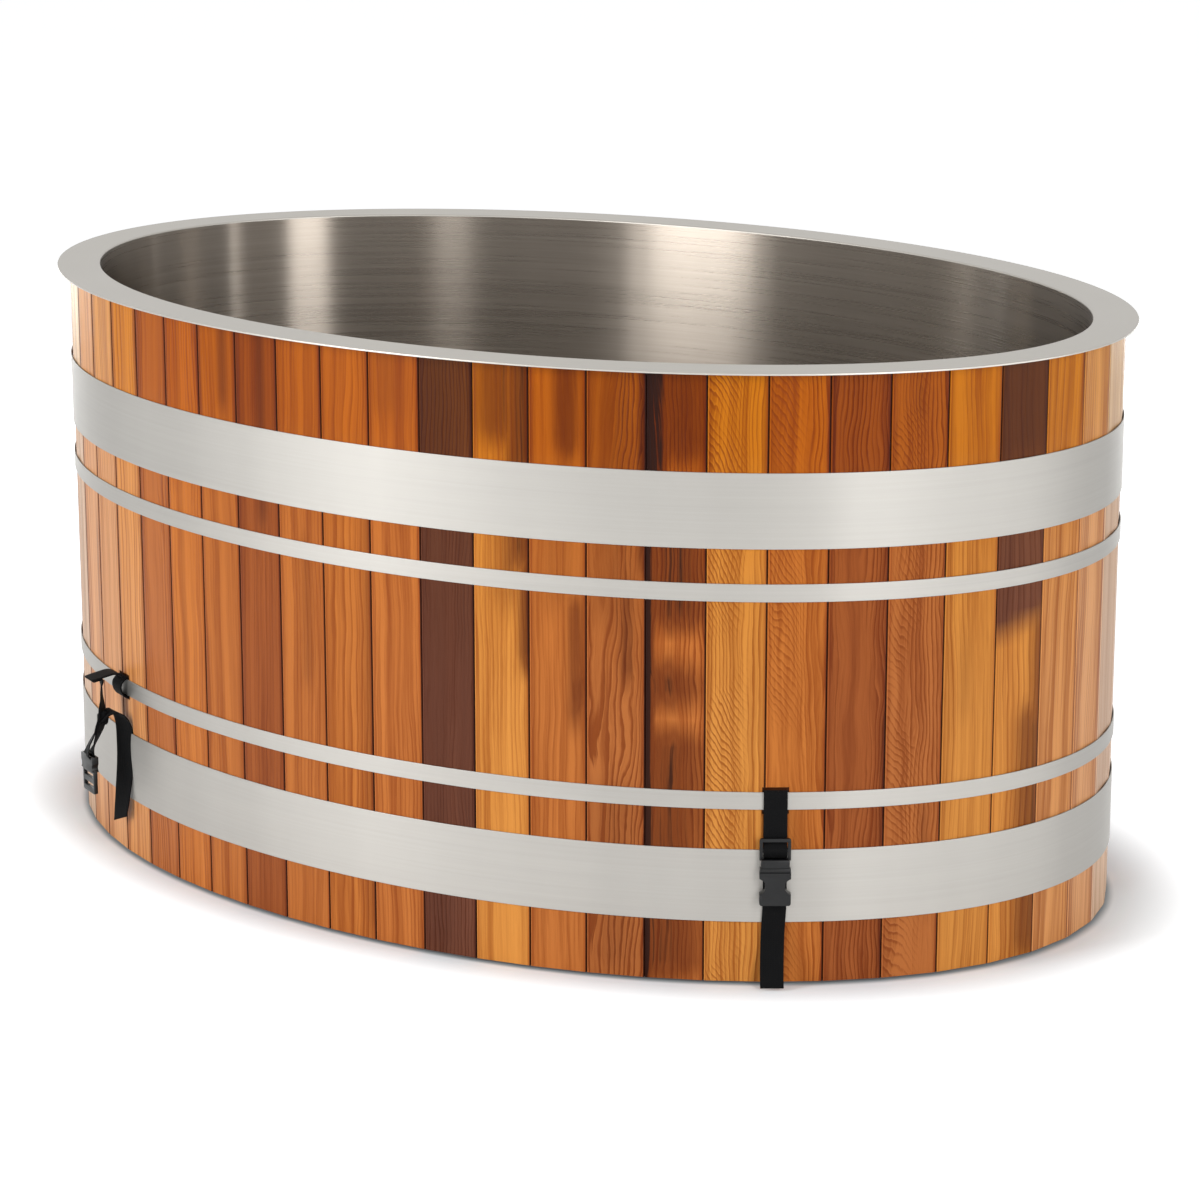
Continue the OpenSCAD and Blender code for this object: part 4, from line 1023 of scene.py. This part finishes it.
outlet = joined("hoseOutlet", [threaded(fittings["outlet"]), hexRing(*fittings["outlet"]["collar"])])
toStave(outlet, *drainHole[:2])
smooth(outlet, 30)
dress(outlet, "tub", "valve_nickel", "hose_outlet")

handle = fittings["grip"]
bend = [math.radians(-90 + 15 * i) for i in range(13)]
nose = [(handle["end"] - handle["half"] * (1 - math.cos(a)), handle["half"] * math.sin(a)) for a in bend]
grip = outlineMesh([(x, handle["low"], handle["depth"] + z) for x, z in
                    [(handle["start"], -handle["half"])] + nose + [(handle["start"], handle["half"])]])
editMode(grip)
bpy.ops.mesh.edge_face_add()
bpy.ops.mesh.extrude_region_move(TRANSFORM_OT_translate={"value": (0, handle["high"] - handle["low"], 0)})
objectMode()
modify(grip, "BEVEL", width=handle["edge"], segments=4, limit_method="ANGLE", angle_limit=math.radians(40))
toStave(grip, drainHole[0], 0)
grip = joined("leverGrip", [grip])
smooth(grip, 40)
dress(grip, "lever", "grip_vinyl", "lever_grip")
print("fittings are made")

# Stage

stage = {"size": 60.0, "world": 0.18, "floor": (0.82, 0.86, 0.89, 1), "foot": (0.275, 0.30, 0.315, 1),
         "floorGlow": 0.82, "shadowGlow": 0.05, "fade": 0.24}  # painted shadow: the floor's colour and glow are darker under and beside the tub


def seenRays(w):  # 1 where the camera, or a reflection in metal, looks
    rays = w.node("LightPath").socket.node
    camera, glossy, through = (Wire(w.tree, rays.outputs[f"Is {kind} Ray"]) for kind in
                               ("Camera", "Glossy", "Transmission"))
    return camera.math("MAXIMUM", glossy.math("MAXIMUM", through))


clearSelection()
bpy.ops.mesh.primitive_plane_add(size=stage["size"], location=(0, 0, 0))
floor = bpy.context.object
floor.name = "floor"
material, shader, w = newFinish("floorWhite", Roughness=0.9, Specular_IOR_Level=0.1)
# painted shadow: the floor's colour is darker at the tub's foot, and its glow lower near the tub
away = ovalShare(w.place()) - 1.0
feed(shader, Base_Color=w.mix(away.between(-0.004, 0.016), stage["foot"], stage["floor"]))
shadowedGlow = stage["shadowGlow"] + away.between(-0.02, stage["fade"]) * (stage["floorGlow"] - stage["shadowGlow"])
glow = w.node("Emission", {}, {"Color": (1, 1, 1, 1), "Strength": seenRays(w) * shadowedGlow})
output = material.node_tree.nodes["Material Output"]
added = w.node("AddShader", {}, {0: Wire(w.tree, shader.outputs[0]), 1: glow})
w.tree.links.new(added.socket, output.inputs["Surface"])
floor.data.materials.append(material)

world = bpy.data.worlds.new("studio")
bpy.context.scene.world = world
world.use_nodes = True
tree = world.node_tree
w = Wire(tree)
background = tree.nodes["Background"]
background.inputs["Color"].default_value = (1, 1, 1, 1)
level = stage["world"] + seenRays(w) * (1.0 - stage["world"])  # lights little, and looks white
tree.links.new(level.socket, background.inputs["Strength"])

lamps = {  # name: azimuth, distance, height, width, length, watts
    "keyFront": (-114.8, 3.4, 1.4, 0.98, 2.1, 76),
    "fillRight": (-28.5, 3.4, 1.4, 0.88, 2.1, 54),
    "lowRight": (12, 3.0, 0.34, 1.8, 0.5, 9),
    "stripEnd": (6, 3.4, 1.5, 0.07, 2.1, 8.0),
    "stripMiddle": (-71, 3.4, 1.5, 0.50, 2.1, 11.0),
    "stripFarEnd": (-164, 3.4, 1.5, 0.06, 2.1, 3.0),
    "stripFarthest": (-173, 3.4, 1.5, 0.05, 2.1, 3.0),
    "stripBack": (62, 3.4, 1.5, 0.12, 2.1, 1.5),
    "lowBack": (100, 3.0, 0.34, 2.4, 0.5, 24.0),
    "lowBackLeft": (152, 3.0, 0.34, 1.6, 0.5, 14.0)}
for name, (azimuth, distance, level, width, length, watts) in lamps.items():
    clearSelection()
    turned = math.radians(azimuth)
    place = Vector((distance * math.cos(turned), distance * math.sin(turned), level))
    look = Vector((0, 0, 0.5)) - place
    bpy.ops.object.light_add(type="AREA", location=place, rotation=look.to_track_quat("-Z", "Y").to_euler())
    lamp = bpy.context.object
    lamp.name = name
    lamp.data.shape = "RECTANGLE"
    lamp.data.size = width
    lamp.data.size_y = length
    lamp.data.energy = watts
    lamp.visible_camera = False
print("stage is lit")
